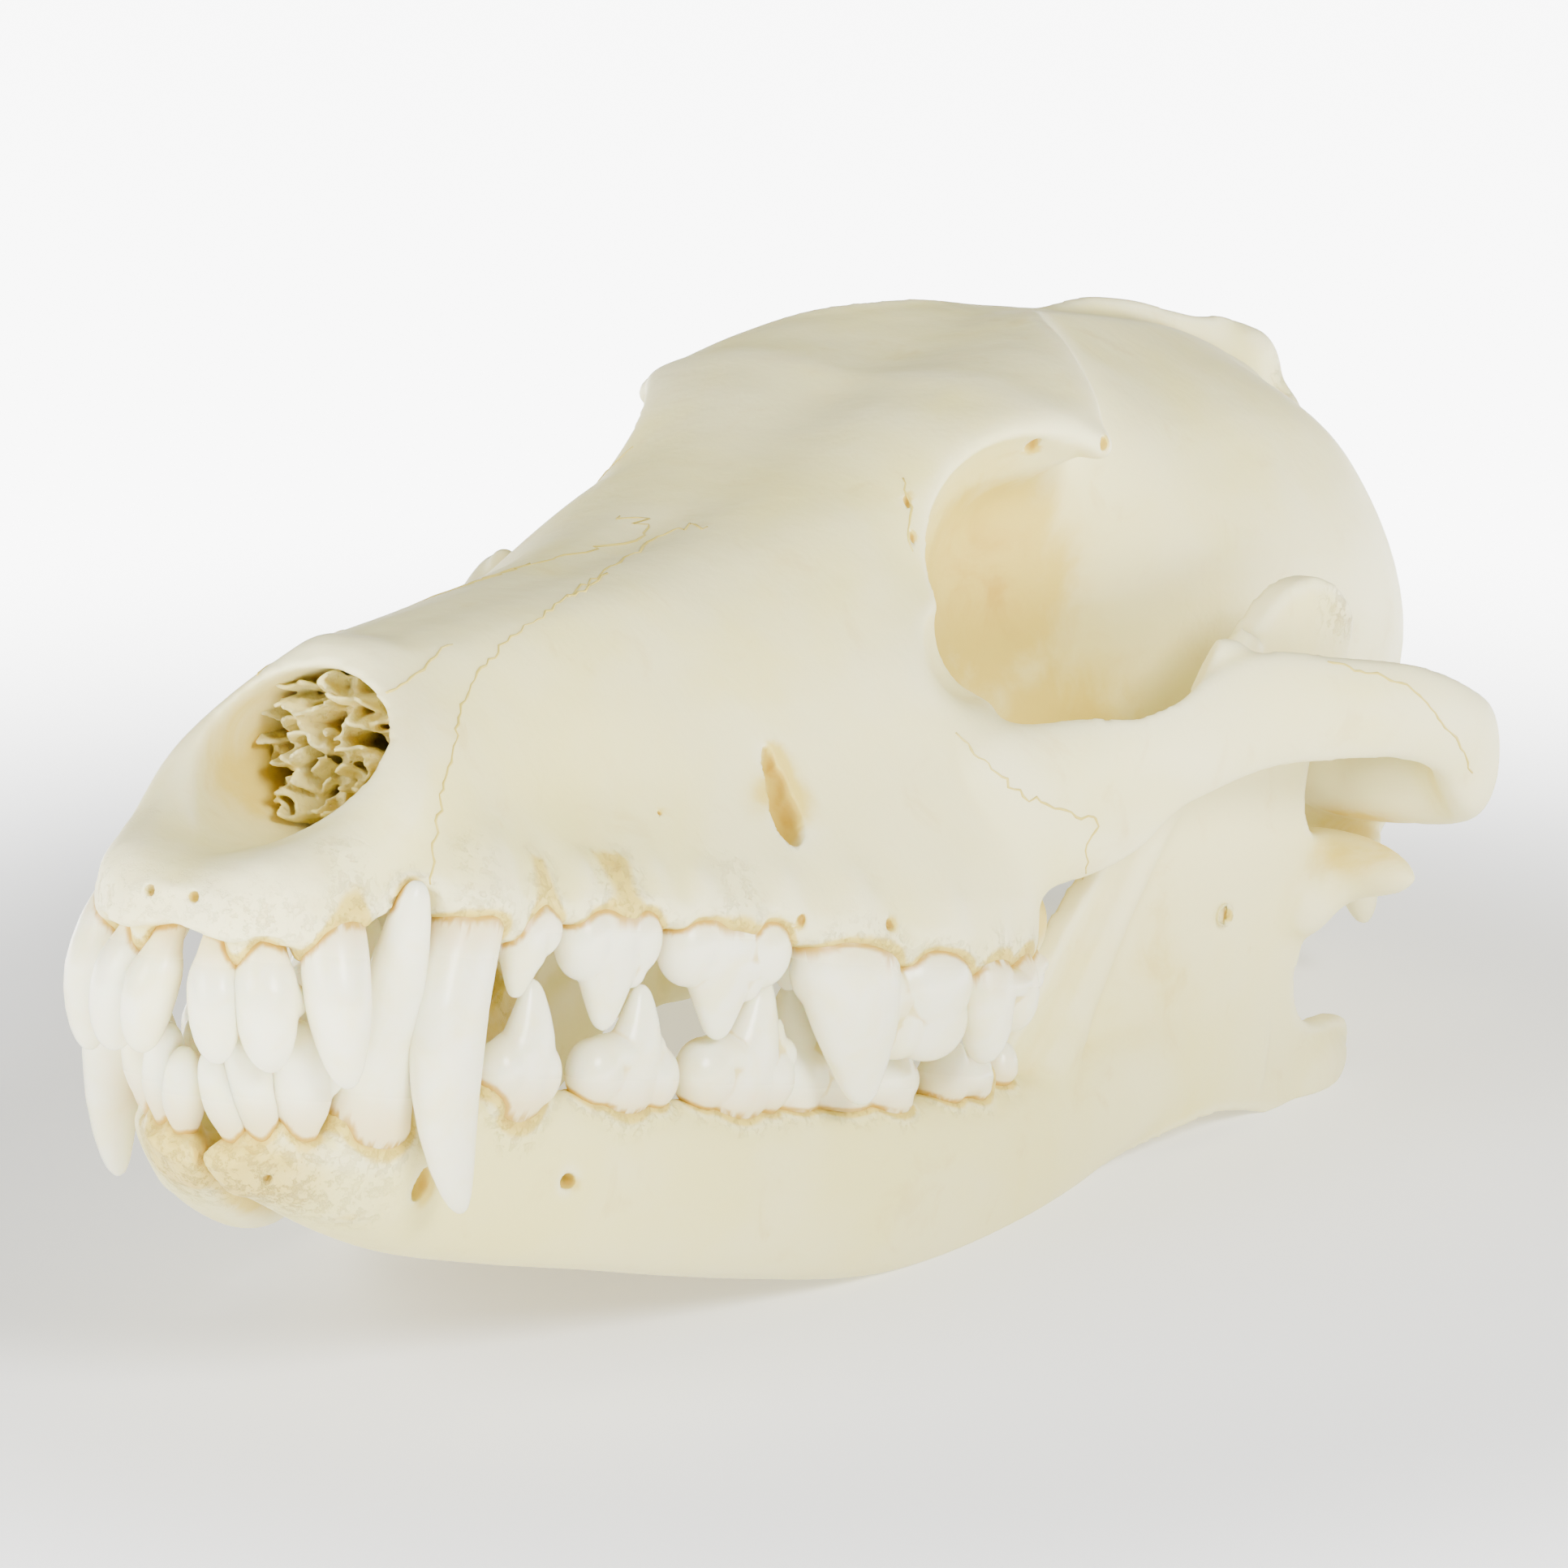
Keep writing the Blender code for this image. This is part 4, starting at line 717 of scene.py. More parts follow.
def along(knots, at):
    """Smooth value at a place along (place, value) knots, flat beyond both ends."""
    places = np.array([knot[0] for knot in knots], float)
    values = np.array([knot[1] for knot in knots], float)
    steps = np.diff(places)
    rises = np.diff(values) / steps
    slopes = np.empty(len(places))
    slopes[0] = rises[0]
    slopes[-1] = rises[-1]
    slopes[1:-1] = (rises[:-1] * steps[1:] + rises[1:] * steps[:-1]) / (steps[1:] + steps[:-1])
    at = min(max(at, places[0]), places[-1])
    i = min(int(np.searchsorted(places, at, side="right")) - 1, len(steps) - 1)
    t = (at - places[i]) / steps[i]
    return float(
        (2 * t**3 - 3 * t**2 + 1) * values[i]
        + (t**3 - 2 * t**2 + t) * steps[i] * slopes[i]
        + (3 * t**2 - 2 * t**3) * values[i + 1]
        + (t**3 - t**2) * steps[i] * slopes[i + 1]
    )


def row_at(table, at):
    """One row of a table whose first column is the place along it."""
    return [along([(row[0], row[k]) for row in table], at) for k in range(1, len(table[0]))]


def places_along(table, gap):
    first = table[0][0]
    last = table[-1][0]
    count = max(2, round((last - first) / gap) + 1)
    return [first + (last - first) * k / (count - 1) for k in range(count)]


def rounded(points, closed, steps):
    """Catmull-Rom curve through the points."""
    count = len(points)
    spans = count if closed else count - 1
    curve = []
    for i in range(spans):
        near = []
        for k in (-1, 0, 1, 2):
            at = (i + k) % count if closed else min(max(i + k, 0), count - 1)
            near.append(np.array(points[at], float))
        a, b, c, d = near
        for step in range(steps):
            t = step / steps
            square = (2 * a - 5 * b + 4 * c - d) * t**2
            cube = (3 * b - a - 3 * c + d) * t**3
            curve.append(0.5 * (2 * b + (c - a) * t + square + cube))
    if not closed:
        curve.append(np.array(points[-1], float))
    return curve


def turns(sides):
    """The angles of so many even steps round a circle."""
    return [math.tau * k / sides for k in range(sides)]


def stance(shift, unit):
    """From the skull's own frame to the room, lifted, tilted and shifted back, in this unit."""
    tilt = Matrix.Rotation(-math.radians(SNOUT_UP), 4, "X")
    return Matrix.Translation((0.0, shift, FLOOR_BELOW * unit)) @ tilt


def room_matrix():
    """The stance in metres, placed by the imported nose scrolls."""
    tilt = math.radians(SNOUT_UP)
    corner = SCROLL_CORNER[0] * math.cos(tilt) + SCROLL_CORNER[1] * math.sin(tilt)
    return stance(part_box("nose_scrolls")[0].y - corner * MM, MM)


def pick(*things):
    bpy.ops.object.select_all(action="DESELECT")
    for thing in things:
        thing.select_set(True)
    bpy.context.view_layer.objects.active = things[0]


def modify(thing, kind, **settings):
    """Adds one modifier with these settings and applies it."""
    modifier = thing.modifiers.new(kind.lower(), kind)
    for key, value in settings.items():
        setattr(modifier, key, value)
    pick(thing)
    bpy.ops.object.modifier_apply(modifier=modifier.name)


def join(things, name):
    pick(*things)
    if len(things) > 1:
        bpy.ops.object.join()
    things[0].name = name
    return things[0]


def in_edit_mode(thing, *steps):
    """Runs edit-mode steps on the whole mesh."""
    pick(thing)
    bpy.ops.object.mode_set(mode="EDIT")
    bpy.ops.mesh.select_all(action="SELECT")
    for step in steps:
        step()
    bpy.ops.object.mode_set(mode="OBJECT")


def point_outwards():
    bpy.ops.mesh.select_all(action="SELECT")
    bpy.ops.mesh.normals_make_consistent(inside=False)


def weld():
    bpy.ops.mesh.remove_doubles(threshold=1e-6)


def close_ends():
    bpy.ops.mesh.fill_holes(sides=0)


def points_of(thing):
    """The mesh's points in millimetres."""
    found = np.empty(len(thing.data.vertices) * 3)
    thing.data.vertices.foreach_get("co", found)
    return found.reshape(-1, 3) / MM


def normals_of(thing):
    found = np.empty(len(thing.data.vertices) * 3)
    thing.data.vertices.foreach_get("normal", found)
    return found.reshape(-1, 3)


def move_points(thing, points):
    thing.data.vertices.foreach_set("co", (np.asarray(points, float) * MM).ravel())
    thing.data.update()


def triangles_in(thing):
    return sum(len(face.vertices) - 2 for face in thing.data.polygons)


def loft(name, rings):
    """Closed skin over rings of equally many points: a grid bent round them, welded and capped."""
    count = len(rings[0])
    bpy.ops.mesh.primitive_grid_add(x_subdivisions=count, y_subdivisions=len(rings) - 1, size=MM)
    thing = bpy.context.object
    thing.name = name
    move_points(thing, [ring[k % count] for ring in rings for k in range(count + 1)])
    in_edit_mode(thing, weld, close_ends, point_outwards)
    return thing


def egg(name, centre, radii, turn):
    """Egg-shaped lump: centre, three radii, and its turn about X, Y and Z in degrees."""
    bpy.ops.mesh.primitive_uv_sphere_add(
        segments=EGG_SIDES,
        ring_count=EGG_SIDES * 5 // 8,
        radius=MM,
        location=Vector(centre) * MM,
        rotation=[math.radians(angle) for angle in turn],
    )
    thing = bpy.context.object
    thing.name = name
    thing.scale = radii
    bpy.ops.object.transform_apply(location=True, rotation=True, scale=True)
    return thing


def eggs(table):
    return [egg(name, *sizes) for name, sizes in table.items()]


def bar(name, spine):
    """Bar of oval section along spine rows: x, y, z, half thickness sideways, half height."""
    rows = rounded(spine, False, SPLINE_STEPS)
    rings = []
    for i, row in enumerate(rows):
        ahead = Vector(rows[min(i + 1, len(rows) - 1)][:3]) - Vector(rows[max(i - 1, 0)][:3])
        ahead.normalize()
        up = Vector((0, 0, 1)) if abs(ahead.z) < STEEP else Vector((0, -1, 0))
        up = (up - ahead * up.dot(ahead)).normalized()
        side = ahead.cross(up)
        centre = Vector(row[:3])
        rings.append([
            centre + side * row[3] * math.cos(turn) + up * row[4] * math.sin(turn)
            for turn in turns(BAR_SIDES)
        ])
    return loft(name, rings)


def hull_ring(y):
    row = row_at(HULL, y)
    half = list(zip(row[1:-1:2], row[2:-1:2]))
    outline = [(0.0, row[0])] + half + [(0.0, row[-1])] + [(-x, z) for x, z in reversed(half)]
    return [(x, y, z) for x, z in rounded(outline, True, SPLINE_STEPS)]


def nose_ring(y):
    half, floor, ceiling = row_at(NOSE, y)
    middle = (floor + ceiling) / 2
    tall = (ceiling - floor) / 2
    return [(half * math.cos(turn), y, middle + tall * math.sin(turn)) for turn in turns(NOSE_SIDES)]


def jaw_ring(y):
    """Section of the jaw's body, an oval with fuller corners."""
    top_x, top_z, top_half, bottom_x, bottom_z, bottom_half = row_at(JAW, y)
    ring = []
    for turn in turns(JAW_SIDES):
        c = math.cos(turn)
        s = math.sin(turn)
        across = math.copysign(abs(c) ** JAW_FULLNESS, c)
        up = 0.5 + 0.5 * math.copysign(abs(s) ** JAW_FULLNESS, s)
        middle = bottom_x + (top_x - bottom_x) * up
        half = bottom_half + (top_half - bottom_half) * up
        ring.append((middle + half * across, y, bottom_z + (top_z - bottom_z) * up))
    return ring


def crest(name, line, depth, lean):
    """Ridge whose top runs along x, y, z points and whose foot is sunk so deep in the bone below."""
    tops = [Vector(point) for point in rounded(line, False, SPLINE_STEPS)]
    rings = []
    for i, top in enumerate(tops):
        inwards = Vector((-top.x * CREST_TUCK, -lean, -CREST_DOWN)).normalized()
        ahead = (tops[min(i + 1, len(tops) - 1)] - tops[max(i - 1, 0)]).normalized()
        side = ahead.cross(inwards).normalized()
        foot = top + inwards * depth
        thin = side * CREST_TOP
        thick = side * CREST_FOOT
        rings.append([top - thin, top + thin, foot + thick, foot - thick])
    return loft(name, rings)


def ramus_plate():
    """Thin wing of the jaw: a filled flat outline with thickness, cut across and bowed outwards."""
    flat = bpy.data.curves.new("ramus", "CURVE")
    flat.dimensions = "2D"
    flat.fill_mode = "BOTH"
    flat.extrude = RAMUS_HALF * MM
    outline = rounded(RAMUS, True, SPLINE_STEPS)
    line = flat.splines.new("POLY")
    line.points.add(len(outline) - 1)
    for point, (y, z) in zip(line.points, outline):
        point.co = (y * MM, z * MM, 0.0, 1.0)
    line.use_cyclic_u = True
    thing = bpy.data.objects.new("ramus", flat)
    bpy.context.scene.collection.objects.link(thing)
    pick(thing)
    bpy.ops.object.convert(target="MESH")
    first, last, gap = RAMUS_BENDS

    def cut_across():
        for y in range(first, last + 1, gap):
            bpy.ops.mesh.select_all(action="SELECT")
            bpy.ops.mesh.bisect(plane_co=(y * MM, 0, 0), plane_no=(1, 0, 0))

    in_edit_mode(thing, weld, cut_across)
    flat_points = points_of(thing)
    bowed = [
        (along(RAMUS_LINE, y) + (z - RAMUS_LEVEL) * RAMUS_LEAN + x, y, z) for y, z, x in flat_points
    ]
    move_points(thing, bowed)
    in_edit_mode(thing, point_outwards)
    return thing


def mirrored(thing, name):
    """The same piece on the other side of the middle."""
    pick(thing)
    bpy.ops.object.duplicate()
    twin = bpy.context.object
    twin.name = name
    move_points(twin, points_of(twin) * (-1, 1, 1))
    in_edit_mode(twin, bpy.ops.mesh.flip_normals)
    return twin


def both_sides(things):
    """The pieces of the left side, and after them their mirror images."""
    return things + [mirrored(thing, thing.name + "_right") for thing in things]


def combine(thing, others, operation):
    """One Boolean with a whole collection, applied, and the collection emptied."""
    group = bpy.data.collections.new("operands")
    bpy.context.scene.collection.children.link(group)
    for other in others:
        for owner in list(other.users_collection):
            owner.objects.unlink(other)
        group.objects.link(other)
    modify(
        thing,
        "BOOLEAN",
        operation=operation,
        operand_type="COLLECTION",
        collection=group,
        solver="MANIFOLD",
    )
    for other in others:
        bpy.data.objects.remove(other, do_unlink=True)
    bpy.data.collections.remove(group)


def keep_largest(thing):
    """Drops loose scraps."""
    name = thing.name
    in_edit_mode(thing, lambda: bpy.ops.mesh.separate(type="LOOSE"))
    shells = sorted(bpy.context.selected_objects, key=lambda shell: len(shell.data.vertices))
    for scrap in shells[:-1]:
        bpy.data.objects.remove(scrap, do_unlink=True)
    shells[-1].name = name
    return shells[-1]


def photo_ray(u, v):
    """Start and direction, in the skull's own millimetres, of the camera's ray through a pixel."""
    right, up, back = camera_frame()
    way = right * (u - PICTURE / 2) + up * (PICTURE / 2 - v) - back * (LENS / SENSOR * PICTURE)
    to_skull = stance(0.0, 1.0).inverted()
    return to_skull @ Vector(CAMERA_PLACE), (to_skull.to_3x3() @ way).normalized()


def drill(thing, pits):
    """Egg-shaped cutters where the photo shows small openings, on both sides of the skull."""
    tree = tree_of((thing,))
    cutters = []
    for name, (u, v, half, long, depth) in pits.items():
        place, normal, _, _ = tree.ray_cast(*photo_ray(u, v))
        if place is None:
            continue
        turn = [math.degrees(angle) for angle in normal.to_track_quat("Z", "Y").to_euler()]
        cutters.append(egg(name, place, (half, long, depth), turn))
    return cutters if JAW_WORD in thing.name else both_sides(cutters)


def grow_together(thing, voxel, rounds, pits):
    """Blends the joins like grown bone, with its small openings."""
    modify(thing, "REMESH", mode="VOXEL", voxel_size=voxel * MM)
    thing = keep_largest(thing)
    combine(thing, drill(thing, pits), "DIFFERENCE")
    modify(thing, "SMOOTH", factor=0.5, iterations=rounds)
    return thing


def thin_out(thing, most):
    count = triangles_in(thing)
    if count > most:
        modify(thing, "DECIMATE", ratio=most / count)


def closeness(points, centre, radii, turn):
    """1 at the centre of an egg-shaped place, fading to nothing outside it, on both sides."""
    inwards = np.array(Euler([math.radians(angle) for angle in turn]).to_matrix()).T
    beside = points * np.sign(points[:, :1] + 1e-9) ** np.array([1, 0, 0])
    offsets = (beside - np.array(centre)) @ inwards.T / np.array(radii)
    return np.exp(-FALLOFF * (offsets**2).sum(1))


def swell(thing, table):
    """Raises or sinks the surface at chosen places, along its normals."""
    points = points_of(thing)
    normals = normals_of(thing)
    for centre, radii, turn, height in table.values():
        points += normals * (closeness(points, centre, radii, turn) * height)[:, None]
    move_points(thing, points)


def bone_between_teeth(table):
    """Small lumps of bone between neighbouring teeth."""
    lumps = []
    teeth = list(table.values())
    for tooth, after in zip(teeth, teeth[1:]):
        if (Vector(tooth[0]) - Vector(after[0])).length < SEPTUM_REACH:
            centre = (Vector(tooth[0]) + Vector(after[0])) / 2
            lumps.append(egg("septum", centre, SEPTUM_SIZE, (0, 0, -(tooth[1] + after[1]) / 2)))
    return lumps


def row_axes(heading):
    """Directions along a row of teeth, towards the back, and out of it."""
    angle = math.radians(heading)
    return (math.sin(angle), math.cos(angle), 0.0), (math.cos(angle), -math.sin(angle), 0.0)


def socket_arcs(table, proud):
    """Cutters that raise the bone's edge into an arc over each root; proud is 1 upwards, -1 down."""
    arcs = []
    for neck, heading, _, _, cusps, lobes in table.values():
        back, out = (Vector(axis) for axis in row_axes(heading))
        _, foot, _, length, width = cusps[0][:5]
        roots = [(foot, length * ARC_SHARE)]
        if len(lobes) > 2:
            roots = [(lobe[0], lobe[3] * 2 * ARC_SHARE) for lobe in lobes[:2]]
        for place, reach in roots:
            centre = Vector(neck) + back * place + out * width / 2 + Vector((0.0, 0.0, proud * ARC_OVER))
            arcs.append(egg("arc", centre, (ARC_DEPTH, reach, ARC_HEIGHT), (0, 0, -heading)))
    return arcs


def build_cranium():
    hull = loft("cranium", [hull_ring(y) for y in places_along(HULL, STATION_GAP)])
    pieces = [bar("arch", ARCH), bar("wing_plate", WING_PLATE)]
    pieces.append(crest("nuchal_crest", NUCHAL, NUCHAL_DEPTH, NUCHAL_LEAN))
    pieces += eggs(LUMPS)
    pieces += bone_between_teeth(UPPER_TEETH)
    pieces = both_sides(pieces)
    midline = [(0.0, y, z) for y, z in SAGITTAL]
    pieces.append(crest("sagittal_crest", midline, SAGITTAL_DEPTH, 0.0))
    combine(hull, pieces, "UNION")
    cutters = both_sides(eggs(HOLLOWS) + socket_arcs(UPPER_TEETH, -1))
    cutters.append(egg("neck_hole", *NECK_HOLE))
    cutters.append(egg("throat", *THROAT))
    cutters.append(loft("nose", [nose_ring(y) for y in places_along(NOSE, STATION_GAP)]))
    combine(hull, cutters, "DIFFERENCE")
    hull = grow_together(hull, BONE_VOXEL, SKULL_ROUNDS, SKULL_PITS)
    melt(hull)
    swell(hull, SWELLINGS)
    thin_out(hull, BONE_TRIANGLES)
    return hull


def build_jaw():
    jaw = loft("jaw_bone_left", [jaw_ring(y) for y in places_along(JAW, STATION_GAP)])
    pieces = [ramus_plate(), bar("ramus_front", RAMUS_FRONT)]
    pieces += eggs(JAW_LUMPS)
    pieces += bone_between_teeth(LOWER_TEETH)
    combine(jaw, pieces, "UNION")
    combine(jaw, socket_arcs(LOWER_TEETH, 1), "DIFFERENCE")
    jaw = grow_together(jaw, BONE_VOXEL, JAW_ROUNDS, JAW_PITS)
    melt(jaw)
    swell(jaw, JAW_SWELLINGS)
    points = points_of(jaw)
    points[:, 0] = np.maximum(points[:, 0], JAW_MIDDLE)
    move_points(jaw, points)
    thin_out(jaw, JAW_TRIANGLES)
    return jaw


def reach_back(jaw):
    """The corner of the right jaw reaches a little further back than the left one."""
    points = points_of(jaw)
    near = closeness(points, JAW_CORNER, JAW_CORNER_SIZE, (0, 0, 0))
    points += near[:, None] * np.array(JAW_CORNER_MOVE)
    move_points(jaw, points)


def oval(centre, length, width):
    """Level ring of points."""
    half_length = length / 2
    half_width = width / 2
    return [
        centre + (half_length * math.cos(turn), half_width * math.sin(turn), 0.0)
        for turn in turns(BAR_SIDES)
    ]


def cusp_rings(cusp, root):
    """Rings of one cusp from the end of its root to its tip, in the tooth's own axes."""
    shape, foot_a, foot_c, length, width, tip_a, tip_c, height, bow_a, bow_c = cusp
    end = ROOT_END * shape[0][1]
    rings = [oval(np.array((foot_a, foot_c - root * ROOT_LEAN, -root)), length * end, width * end)]
    for share, size in shape:
        bend = 4 * share * (1 - share)
        centre = np.array((
            foot_a + (tip_a - foot_a) * share + bow_a * bend,
            foot_c + (tip_c - foot_c) * share + bow_c * bend,
            height * share,
        ))
        rings.append(oval(centre, length * size, width * size))
    return rings


def build_tooth(name, tooth, proud, side, growth):
    """One tooth: its cusps and lobes grown together, in place on one side of the jaw."""
    neck, heading, root, edge, cusps, lobes = tooth
    back, out = row_axes(heading)
    axes = np.array((back, out, (0.0, 0.0, proud))) * growth
    pieces = [loft("cusp", cusp_rings(cusp, root)) for cusp in cusps]
    pieces += [egg("lobe", lobe[:3], lobe[3:], (0, 0, 0)) for lobe in lobes]
    made = join(pieces, name)
    modify(made, "REMESH", mode="VOXEL", voxel_size=TOOTH_VOXEL * MM)
    modify(made, "SMOOTH", factor=0.5, iterations=TOOTH_ROUNDS)
    thin_out(made, TOOTH_TRIANGLES)
    local = points_of(made)
    save_shade(made, "crown", np.clip((local[:, 2] - edge) / ENAMEL_FADE + 0.5, 0.0, 1.0))
    move_points(made, (local @ axes + np.array(neck)) * (side, 1, 1))
    in_edit_mode(made, point_outwards)
    return made


def save_shade(thing, name, values):
    """Keeps one number for each point of the mesh, for its material to read."""
    mesh = thing.data
    layer = mesh.attributes.get(name) or mesh.attributes.new(name, "FLOAT", "POINT")
    layer.data.foreach_set("value", np.asarray(values, np.float32))


def build_teeth(name, table, proud):
    """Both sides of one row of teeth; proud is 1 where they stand up and -1 where they hang."""
    draw = np.random.default_rng(TOOTH_SEED)
    teeth = []
    for side, word in ((1, "left"), (-1, "right")):
        for key, tooth in table.items():
            growth = 1.0
            if side < 0:
                growth += float(draw.uniform(-TOOTH_VARIATION, TOOTH_VARIATION))
            if side < 0 and key == "upper_canine":
                growth = RIGHT_CANINE_GROWTH
            teeth.append(build_tooth(f"{key}_{word}", tooth, proud, side, growth))
    return join(teeth, name)


def camera_frame():
    """The camera's directions to the right, up and back."""
    a = math.radians(CAMERA_AZIMUTH)
    e = math.radians(CAMERA_ELEVATION)
    back = Vector((math.sin(a) * math.cos(e), -math.cos(a) * math.cos(e), math.sin(e)))
    right = Vector((math.cos(a), math.sin(a), 0.0))
    return right, back.cross(right), back


def add_camera(room):
    right, up, back = camera_frame()
    data = bpy.data.cameras.new("photo_view")
    data.lens = LENS
    data.sensor_width = SENSOR
    data.clip_end = FAR_CLIP
    camera = bpy.data.objects.new("photo_view", data)
    place = Vector(CAMERA_PLACE) * MM + Vector((0.0, room.translation.y, 0.0))
    camera.matrix_world = Matrix.Translation(place) @ Matrix((right, up, back)).transposed().to_4x4()
    bpy.context.scene.collection.objects.link(camera)
    bpy.context.scene.camera = camera


def smoothed(thing, rounds):
    """The mesh's points after so many rounds of averaging each with its neighbours."""
    mesh = thing.data
    ends = np.empty(len(mesh.edges) * 2, int)
    mesh.edges.foreach_get("vertices", ends)
    starts, stops = ends.reshape(-1, 2).T
    soft = points_of(thing)
    count = len(soft)
    share = np.bincount(starts, minlength=count) + np.bincount(stops, minlength=count)
    for _ in range(rounds):
        sums = [
            np.bincount(starts, soft[stops, axis], count) + np.bincount(stops, soft[starts, axis], count)
            for axis in range(3)
        ]
        soft = np.stack(sums, 1) / share[:, None]
    return soft


def save_hollows(thing, rounds, gain):
    """Stores how far each point lies below its surroundings, from -1 on a ridge to 1 in a hollow."""
    sunk = ((smoothed(thing, rounds) - points_of(thing)) * normals_of(thing)).sum(1)
    save_shade(thing, "hollow", np.clip(sunk * gain, -1.0, 1.0))


def melt(thing):
    """Softens the joins at chosen places, as if the bone had grown there."""
    points = points_of(thing)
    soft = smoothed(thing, MELT_ROUNDS)
    share = np.zeros(len(points))
    for centre, radii, turn in MELTS.values():
        share = np.maximum(share, closeness(points, centre, radii, turn))
    move_points(thing, points + (soft - points) * np.minimum(1.0, share * MELT_STRENGTH)[:, None])


def tree_of(things):
    """One search tree over the surfaces of several pieces, in millimetres."""
    points = []
    faces = []
    for thing in things:
        first = len(points)
        points += points_of(thing).tolist()
        faces += [[first + corner for corner in face.vertices] for face in thing.data.polygons]
    return BVHTree.FromPolygons(points, faces)


def gap_to(tree, points, reach):
    """Distance of each point from a surface, at most reach."""
    gaps = np.full(len(points), reach)
    for i, point in enumerate(points):
        found = tree.find_nearest(point, reach)
        if found[3] is not None:
            gaps[i] = found[3]
    return gaps


def fade(values, near, far):
    """1 up to near, 0 beyond far, smooth between."""
    t = np.clip((far - values) / (far - near), 0.0, 1.0)
    return t * t * (3 - 2 * t)


def shade_bone(thing, teeth, places, pits):
    """Raises the bone's edge round the teeth; stores where it is ochre or painted shade, rough or hollow.
    """
    points = points_of(thing)
    gaps = gap_to(teeth, points, RIM_REACH)
    points += normals_of(thing) * (fade(gaps, *RIM_BAND) * RIM_HEIGHT)[:, None]
    move_points(thing, points)
    stain_and_shade = fade(gaps, *STAIN_BAND) * STAIN_STRENGTH
    # Ochre stains, and painted shade in the nose, orbit, fossa, palate, cheek canal and behind the row
    for centre, radii, turn, strength in places.values():
        stain_and_shade = np.maximum(stain_and_shade, closeness(points, centre, radii, turn) * strength)
    tree = tree_of((thing,))
    # Painted shade in and round each small opening
    for u, v, half, long, _ in pits.values():
        place = tree.ray_cast(*photo_ray(u, v))[0]
        if place is not None:
            size = half * PIT_SHADE
            stain_and_shade = np.maximum(stain_and_shade, closeness(points, place, (size, size, long * PIT_SHADE), (0, 0, 0)))
    # Painted shade on the side of the jaw that faces the mouth
    if JAW_WORD in thing.name:
        inwards = -normals_of(thing)[:, 0] * np.sign(points[:, 0])
        in_mouth = fade(points[:, 1], *MOUTH_BACK) * fade(-points[:, 2], *MOUTH_FLOOR)
        stain_and_shade = np.maximum(stain_and_shade, np.clip(inwards, 0.0, 1.0) * in_mouth * MOUTH_SHADE)
    save_shade(thing, "ochre", stain_and_shade)
    save_hollows(thing, *BONE_HOLLOWS)
    rough = fade(gaps, *ROUGH_BAND) * ROUGH_STRENGTH
    for centre, radii, turn in POROUS.values():
        rough = np.maximum(rough, closeness(points, centre, radii, turn))
    save_shade(thing, "rough", rough)


def shade_teeth(thing, bones):
    gaps = gap_to(bones, points_of(thing), RIM_REACH)
    save_shade(thing, "neck", fade(gaps, *NECK_BAND))
    save_hollows(thing, *TOOTH_HOLLOWS)


def scroll_plate(side, height, draw):
    """One thin wavy plate with a ragged front, on one side of the nose."""
    bpy.ops.mesh.primitive_grid_add(x_subdivisions=SCROLL_GRID, y_subdivisions=SCROLL_GRID, size=1.0)
    plate = bpy.context.object
    share = points_of(plate) * MM + 0.5
    across = share[:, 0]
    deep = share[:, 1]
    waves = draw.uniform(0.0, math.tau, 6)
    rags = sum(much * np.sin(across * pace + wave) for (much, pace), wave in zip(SCROLL_RAGS, waves))
    scatter = draw.uniform(-SCROLL_SCATTER, SCROLL_SCATTER)
    y = SCROLL_FRONT + SCROLL_SLANT * across + scatter + rags + deep * SCROLL_LENGTH
    x = SCROLL_INNER + across * SCROLL_REACH
    z = height + SCROLL_CURL * across**2 * math.sin(waves[5])
    for (much, sideways, inwards), wave in zip(SCROLL_WAVES, waves[2:]):
        z += much * np.sin(across * sideways + deep * inwards + wave)
    move_points(plate, np.stack((x * side, y, z), 1))
    modify(plate, "SOLIDIFY", thickness=SCROLL_THICK * MM, offset=0.0)
    return plate


def nose_wall(bottom, top):
    """Thin wall down the middle of the nose, which holds the plates together."""
    bpy.ops.mesh.primitive_cube_add(size=1.0)
    wall = bpy.context.object
    middle = np.array((0.0, SCROLL_FRONT + SCROLL_LENGTH / 2 + WALL_BACK, (bottom + top) / 2))
    size = (WALL_THICK, SCROLL_LENGTH, top - bottom + WALL_SPARE)
    move_points(wall, middle + points_of(wall) * MM * size)
    return wall


def build_scrolls():
    """Plates one above another on both sides of the nose, grown together with the wall between."""
    draw = np.random.default_rng(SCROLL_SEED)
    bottom, top = SCROLL_HEIGHTS
    pieces = []
    for side in (-1, 1):
        for k in range(SCROLL_PLATES):
            height = bottom + (top - bottom) * (k + 0.5) / SCROLL_PLATES
            pieces.append(scroll_plate(side, height, draw))
    pieces.append(nose_wall(bottom, top))
    scrolls = join(pieces, "nose_bone_scrolls")
    modify(scrolls, "REMESH", mode="VOXEL", voxel_size=SCROLL_VOXEL * MM)
    scrolls = keep_largest(scrolls)
    modify(scrolls, "SMOOTH", factor=0.5, iterations=SCROLL_ROUNDS)
    thin_out(scrolls, SCROLL_TRIANGLES)
    # Own ochre all over, and painted shade growing towards the back, deeper in the nose
    front = fade(points_of(scrolls)[:, 1], SCROLL_FRONT, SCROLL_FRONT + SCROLL_LENGTH)
    save_shade(scrolls, "ochre", SCROLL_STAIN - SCROLL_DEEP_SHADE * front)
    save_shade(scrolls, "rough", np.full(len(front), SCROLL_ROUGHNESS))
    save_hollows(scrolls, *SCROLL_HOLLOWS)
    return scrolls


